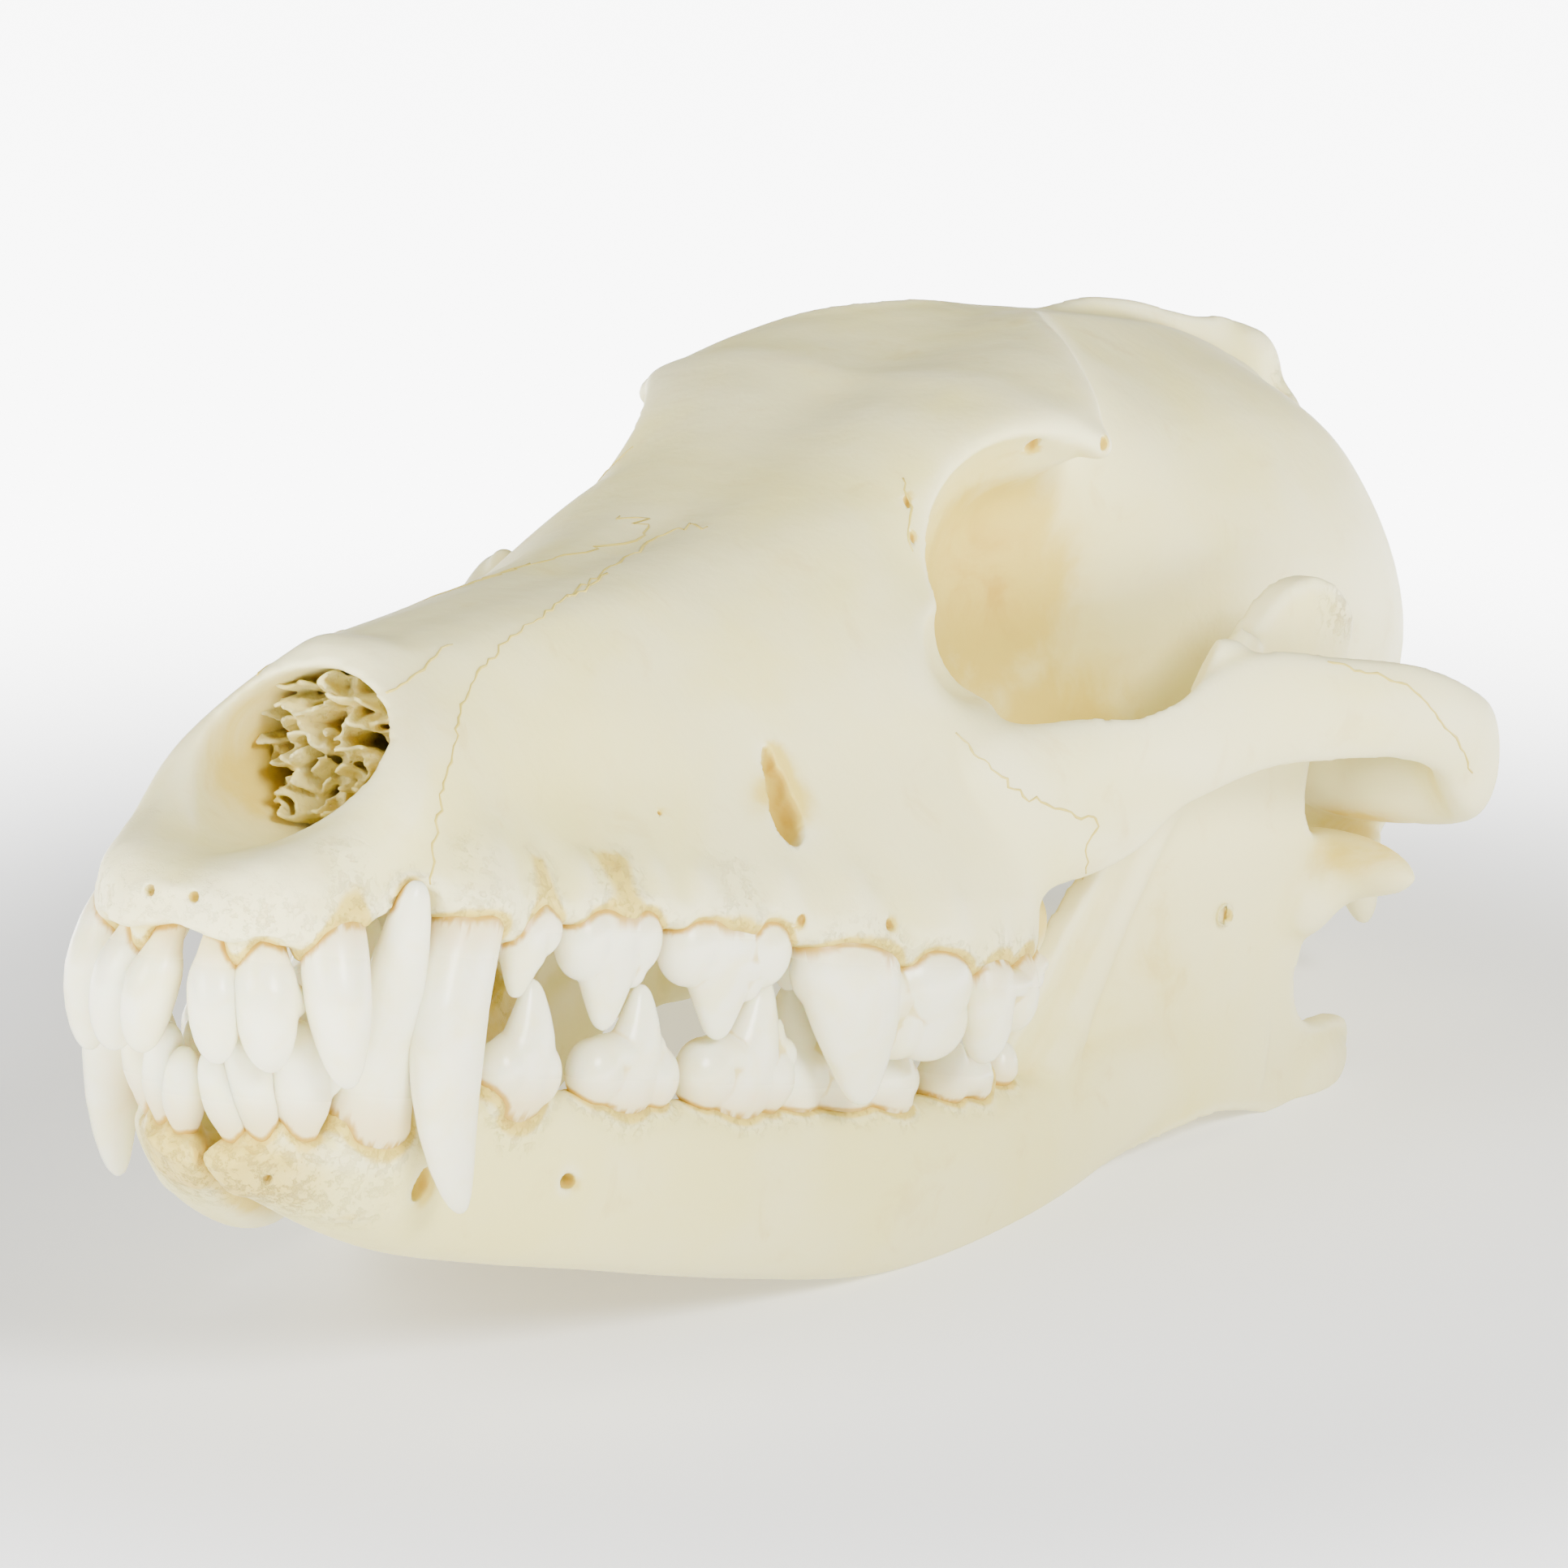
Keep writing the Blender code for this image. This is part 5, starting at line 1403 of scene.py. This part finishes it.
def seam_stops(path, tree, draw):
    """Places and normals on the bone along a path of pixels, with a jagged sideways wander."""
    stops = []
    for (u0, v0), (u1, v1) in zip(path, path[1:]):
        length = math.hypot(u1 - u0, v1 - v0)
        for k in range(int(length / SEAM_STEP)):
            share = k * SEAM_STEP / length
            wander = draw.normal(0.0, SEAM_WANDER)
            u = u0 + (u1 - u0) * share - (v1 - v0) / length * wander
            v = v0 + (v1 - v0) * share + (u1 - u0) / length * wander
            place, normal, _, _ = tree.ray_cast(*photo_ray(u, v))
            if place is not None:
                stops.append((place, normal))
    return stops


def build_seams(tree):
    """Fine jagged lines half sunk in the bone, on both sides."""
    draw = np.random.default_rng(SEAM_SEED)
    lines = []
    for name, path in SEAMS.items():
        stops = seam_stops(path, tree, draw)
        rings = []
        for i, (place, normal) in enumerate(stops):
            ahead = stops[min(i + 1, len(stops) - 1)][0] - stops[max(i - 1, 0)][0]
            side = ahead.cross(normal).normalized()
            half = SEAM_HALF * draw.uniform(*SEAM_SWELL)
            rings.append([
                place + side * (half * math.cos(turn)) + normal * (half * math.sin(turn))
                for turn in turns(SEAM_SIDES)
            ])
        lines.append(loft(name, rings))
    seams = join(both_sides(lines), "bone_seams")
    count = len(seams.data.vertices)
    save_shade(seams, "ochre", np.full(count, SEAM_STAIN))
    save_shade(seams, "rough", np.zeros(count))
    save_shade(seams, "hollow", np.zeros(count))
    return seams


class Shader:
    """A material's nodes, wired by short calls."""

    def __init__(self, name):
        self.material = bpy.data.materials.new(name)
        self.material.use_nodes = True
        self.tree = self.material.node_tree
        self.surface = self.tree.nodes["Principled BSDF"]
        self.place = self.add("ShaderNodeTexCoord").outputs["Object"]

    def add(self, kind, **settings):
        made = self.tree.nodes.new(kind)
        for key, value in settings.items():
            setattr(made, key, value)
        return made

    def join(self, source, target):
        if hasattr(source, "is_output"):
            self.tree.links.new(source, target)
        else:
            target.default_value = source

    def noise(self, scale, detail=3.0, rough=0.5, warp=0.0):
        """Cloudy noise, its scale in features for each metre."""
        made = self.add("ShaderNodeTexNoise")
        self.join(self.place, made.inputs["Vector"])
        made.inputs["Scale"].default_value = scale
        made.inputs["Detail"].default_value = detail
        made.inputs["Roughness"].default_value = rough
        made.inputs["Distortion"].default_value = warp
        return made.outputs["Fac"]

    def stored(self, name):
        return self.add("ShaderNodeAttribute", attribute_name=name).outputs["Fac"]

    def ramp(self, value, low, high, bottom=0.0, top=1.0):
        """From bottom where the value is low to top where it is high, smooth between."""
        made = self.add("ShaderNodeMapRange", interpolation_type="SMOOTHSTEP")
        self.join(value, made.inputs["Value"])
        made.inputs["From Min"].default_value = low
        made.inputs["From Max"].default_value = high
        made.inputs["To Min"].default_value = bottom
        made.inputs["To Max"].default_value = top
        return made.outputs["Result"]

    def maths(self, operation, first, second):
        made = self.add("ShaderNodeMath", operation=operation)
        self.join(first, made.inputs[0])
        self.join(second, made.inputs[1])
        return made.outputs[0]

    def blend(self, share, first, second):
        """The first colour, with this share of the second over it."""
        made = self.add("ShaderNodeMix", data_type="RGBA")
        self.join(share, made.inputs["Factor"])
        self.join(first, made.inputs["A"])
        self.join(second, made.inputs["B"])
        return made.outputs["Result"]

    def bump(self, height, distance, strength, under=None):
        made = self.add("ShaderNodeBump")
        made.inputs["Distance"].default_value = distance
        made.inputs["Strength"].default_value = strength
        self.join(height, made.inputs["Height"])
        if under is not None:
            self.join(under, made.inputs["Normal"])
        return made.outputs["Normal"]

    def finish(self, colour, roughness, normal, glow, gloss):
        """Wires the surface; glow is the share of light that wanders under it."""
        inputs = self.surface.inputs
        self.join(colour, inputs["Base Color"])
        self.join(roughness, inputs["Roughness"])
        self.join(normal, inputs["Normal"])
        inputs["Subsurface Weight"].default_value = glow
        inputs["Subsurface Radius"].default_value = SCATTER_COLOUR
        inputs["Subsurface Scale"].default_value = SCATTER_DEPTH
        inputs["Specular IOR Level"].default_value = gloss
        return self.material


def bone_material(name):
    """Cleaned bone: ivory, soft warm clouds, ochre and seams, painted shade in hollows, porous in places.
    """
    paint = Shader(name)
    clouds = paint.noise(scale=38.0, detail=4.0, rough=0.55, warp=0.4)
    mottle = paint.noise(scale=160.0, detail=5.0, rough=0.6, warp=0.8)
    grain = paint.noise(scale=1500.0, detail=4.0, rough=0.6)
    colour = paint.blend(paint.ramp(clouds, 0.38, 0.66), IVORY, CREAM)
    colour = paint.blend(paint.ramp(mottle, 0.56, 0.74, 0.0, 0.4), colour, TAN)
    # Painted shade: honey darkening in the hollows, where shade falls
    colour = paint.blend(paint.ramp(paint.stored("hollow"), 0.05, 0.8, 0.0, 0.25), colour, HONEY)
    # Paler on the ridges, from the surface's shape
    paler_on_ridges = paint.ramp(paint.stored("hollow"), -0.55, -0.05, 0.5, 0.0)
    colour = paint.blend(paler_on_ridges, colour, PALE)
    # Ochre stains, together with the painted shade stored with them, in honey and then ochre
    patchy = paint.ramp(mottle, 0.3, 0.7, 0.65, 1.1)
    stain_and_shade = paint.maths("MULTIPLY", paint.stored("ochre"), patchy)
    colour = paint.blend(paint.ramp(stain_and_shade, 0.03, 0.42, 0.0, 0.95), colour, HONEY)
    colour = paint.blend(paint.ramp(stain_and_shade, 0.45, 1.0, 0.0, 0.8), colour, OCHRE)
    porous = paint.stored("rough")
    pores = paint.ramp(paint.noise(scale=900.0, detail=6.0, rough=0.75), 0.38, 0.5, 1.0, 0.0)
    speck = paint.maths("MULTIPLY", pores, paint.ramp(porous, 0.1, 0.9, 0.0, 0.5))
    colour = paint.blend(speck, colour, HONEY)
    colour = paint.blend(paint.ramp(porous, 0.2, 1.0, 0.0, 0.45), colour, TAN)
    normal = paint.bump(grain, distance=0.0001, strength=0.25)
    pitted = paint.maths("MULTIPLY", pores, porous)
    sunk = paint.maths("SUBTRACT", 0.0, pitted)
    normal = paint.bump(sunk, distance=0.0004, strength=0.7, under=normal)
    soft = paint.ramp(paint.noise(scale=300.0), 0.3, 0.7)
    normal = paint.bump(soft, distance=0.0002, strength=0.25, under=normal)
    dull = paint.ramp(mottle, 0.3, 0.7, 0.42, 0.56)
    return paint.finish(colour, dull, normal, glow=0.18, gloss=0.35)


def tooth_material():
    """White satin enamel over a cream root, with an ochre line where the bone begins."""
    paint = Shader("enamel")
    streaks = paint.noise(scale=220.0, detail=4.0, rough=0.55, warp=0.5)
    crown = paint.stored("crown")
    enamel = paint.blend(paint.ramp(streaks, 0.4, 0.7), WHITE, MILK)
    colour = paint.blend(crown, ROOT_CREAM, enamel)
    # Painted shade: honey darkening in the hollows between the cusps, where shade falls
    colour = paint.blend(paint.ramp(paint.stored("hollow"), 0.06, 0.6, 0.0, 0.6), colour, HONEY)
    colour = paint.blend(paint.ramp(paint.stored("neck"), 0.1, 1.0, 0.0, 0.95), colour, OCHRE)
    normal = paint.bump(paint.noise(scale=700.0), distance=0.0001, strength=0.15)
    satin = paint.ramp(crown, 0.0, 1.0, 0.42, 0.26)
    return paint.finish(colour, satin, normal, glow=0.45, gloss=0.5)


def dress(thing, material):
    thing.data.materials.clear()
    thing.data.materials.append(material)


def settle(thing, room):
    """Puts the finished mesh in the room, and lays what would sink into the floor on top of it."""
    thing.data.transform(room)
    points = points_of(thing)
    height = points[:, 2]
    points[:, 2] = (height + np.sqrt(height**2 + FLOOR_EASE**2)) / 2
    move_points(thing, points)
    thing.data.shade_smooth()


def add_floor():
    """Pale floor whose own light grows with the distance from the skull."""
    bpy.ops.mesh.primitive_circle_add(vertices=FLOOR_SIDES, radius=FLOOR_RADIUS, fill_type="NGON")
    floor = bpy.context.object
    floor.name = "floor"
    paint = Shader("pale_floor")
    distance = paint.add("ShaderNodeVectorMath", operation="LENGTH")
    paint.join(paint.place, distance.inputs[0])
    inputs = paint.surface.inputs
    inputs["Base Color"].default_value = FLOOR_GREY
    inputs["Roughness"].default_value = 0.9
    inputs["Emission Color"].default_value = WHITE_LIGHT
    paint.join(paint.ramp(distance.outputs["Value"], *FLOOR_FADE, *FLOOR_GLOW), inputs["Emission Strength"])
    floor.data.materials.append(paint.material)


def add_lights():
    world = bpy.data.worlds.new("studio")
    world.use_nodes = True
    inputs = world.node_tree.nodes["Background"].inputs
    inputs["Color"].default_value = WHITE_LIGHT
    inputs["Strength"].default_value = ROOM_LIGHT
    bpy.context.scene.world = world
    for name, place, size, power in LIGHTS:
        data = bpy.data.lights.new(name, "AREA")
        data.shape = "DISK"
        data.size = size
        data.energy = power
        lamp = bpy.data.objects.new(name, data)
        lamp.location = place
        lamp.rotation_euler = Vector(place).to_track_quat("Z", "Y").to_euler()
        bpy.context.scene.collection.objects.link(lamp)


def main():
    room = room_matrix()
    cranium = build_cranium()
    jaw_left = build_jaw()
    jaw_right = mirrored(jaw_left, "jaw_bone_right")
    reach_back(jaw_right)
    upper = build_teeth("upper_teeth", UPPER_TEETH, -1)
    lower = build_teeth("lower_teeth", LOWER_TEETH, 1)
    bones = (cranium, jaw_left, jaw_right)
    teeth = tree_of((upper, lower))
    shade_bone(cranium, teeth, STAINS_AND_SHADE, SKULL_PITS)
    shade_bone(jaw_left, teeth, JAW_STAINS, JAW_PITS)
    shade_bone(jaw_right, teeth, JAW_STAINS, {})
    skull = tree_of(bones)
    shade_teeth(upper, skull)
    shade_teeth(lower, skull)
    scrolls = build_scrolls()
    seams = build_seams(skull)
    bone = bone_material("bone")
    enamel = tooth_material()
    for thing in bones:
        dress(thing, bone)
    for thing in (upper, lower):
        dress(thing, enamel)
    dress(seams, bone)
    dress(scrolls, bone_material("scroll_bone"))
    for thing in bones + (upper, lower, scrolls, seams):
        settle(thing, room)
        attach(thing, "root")
    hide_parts("upper_jaw_and_face", "braincase", "cheekbone_left", "cheekbone_right")
    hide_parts("jaw_left")
    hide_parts("jaw_right")
    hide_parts("nose_scrolls")
    add_camera(room)
    add_floor()
    add_lights()


main()
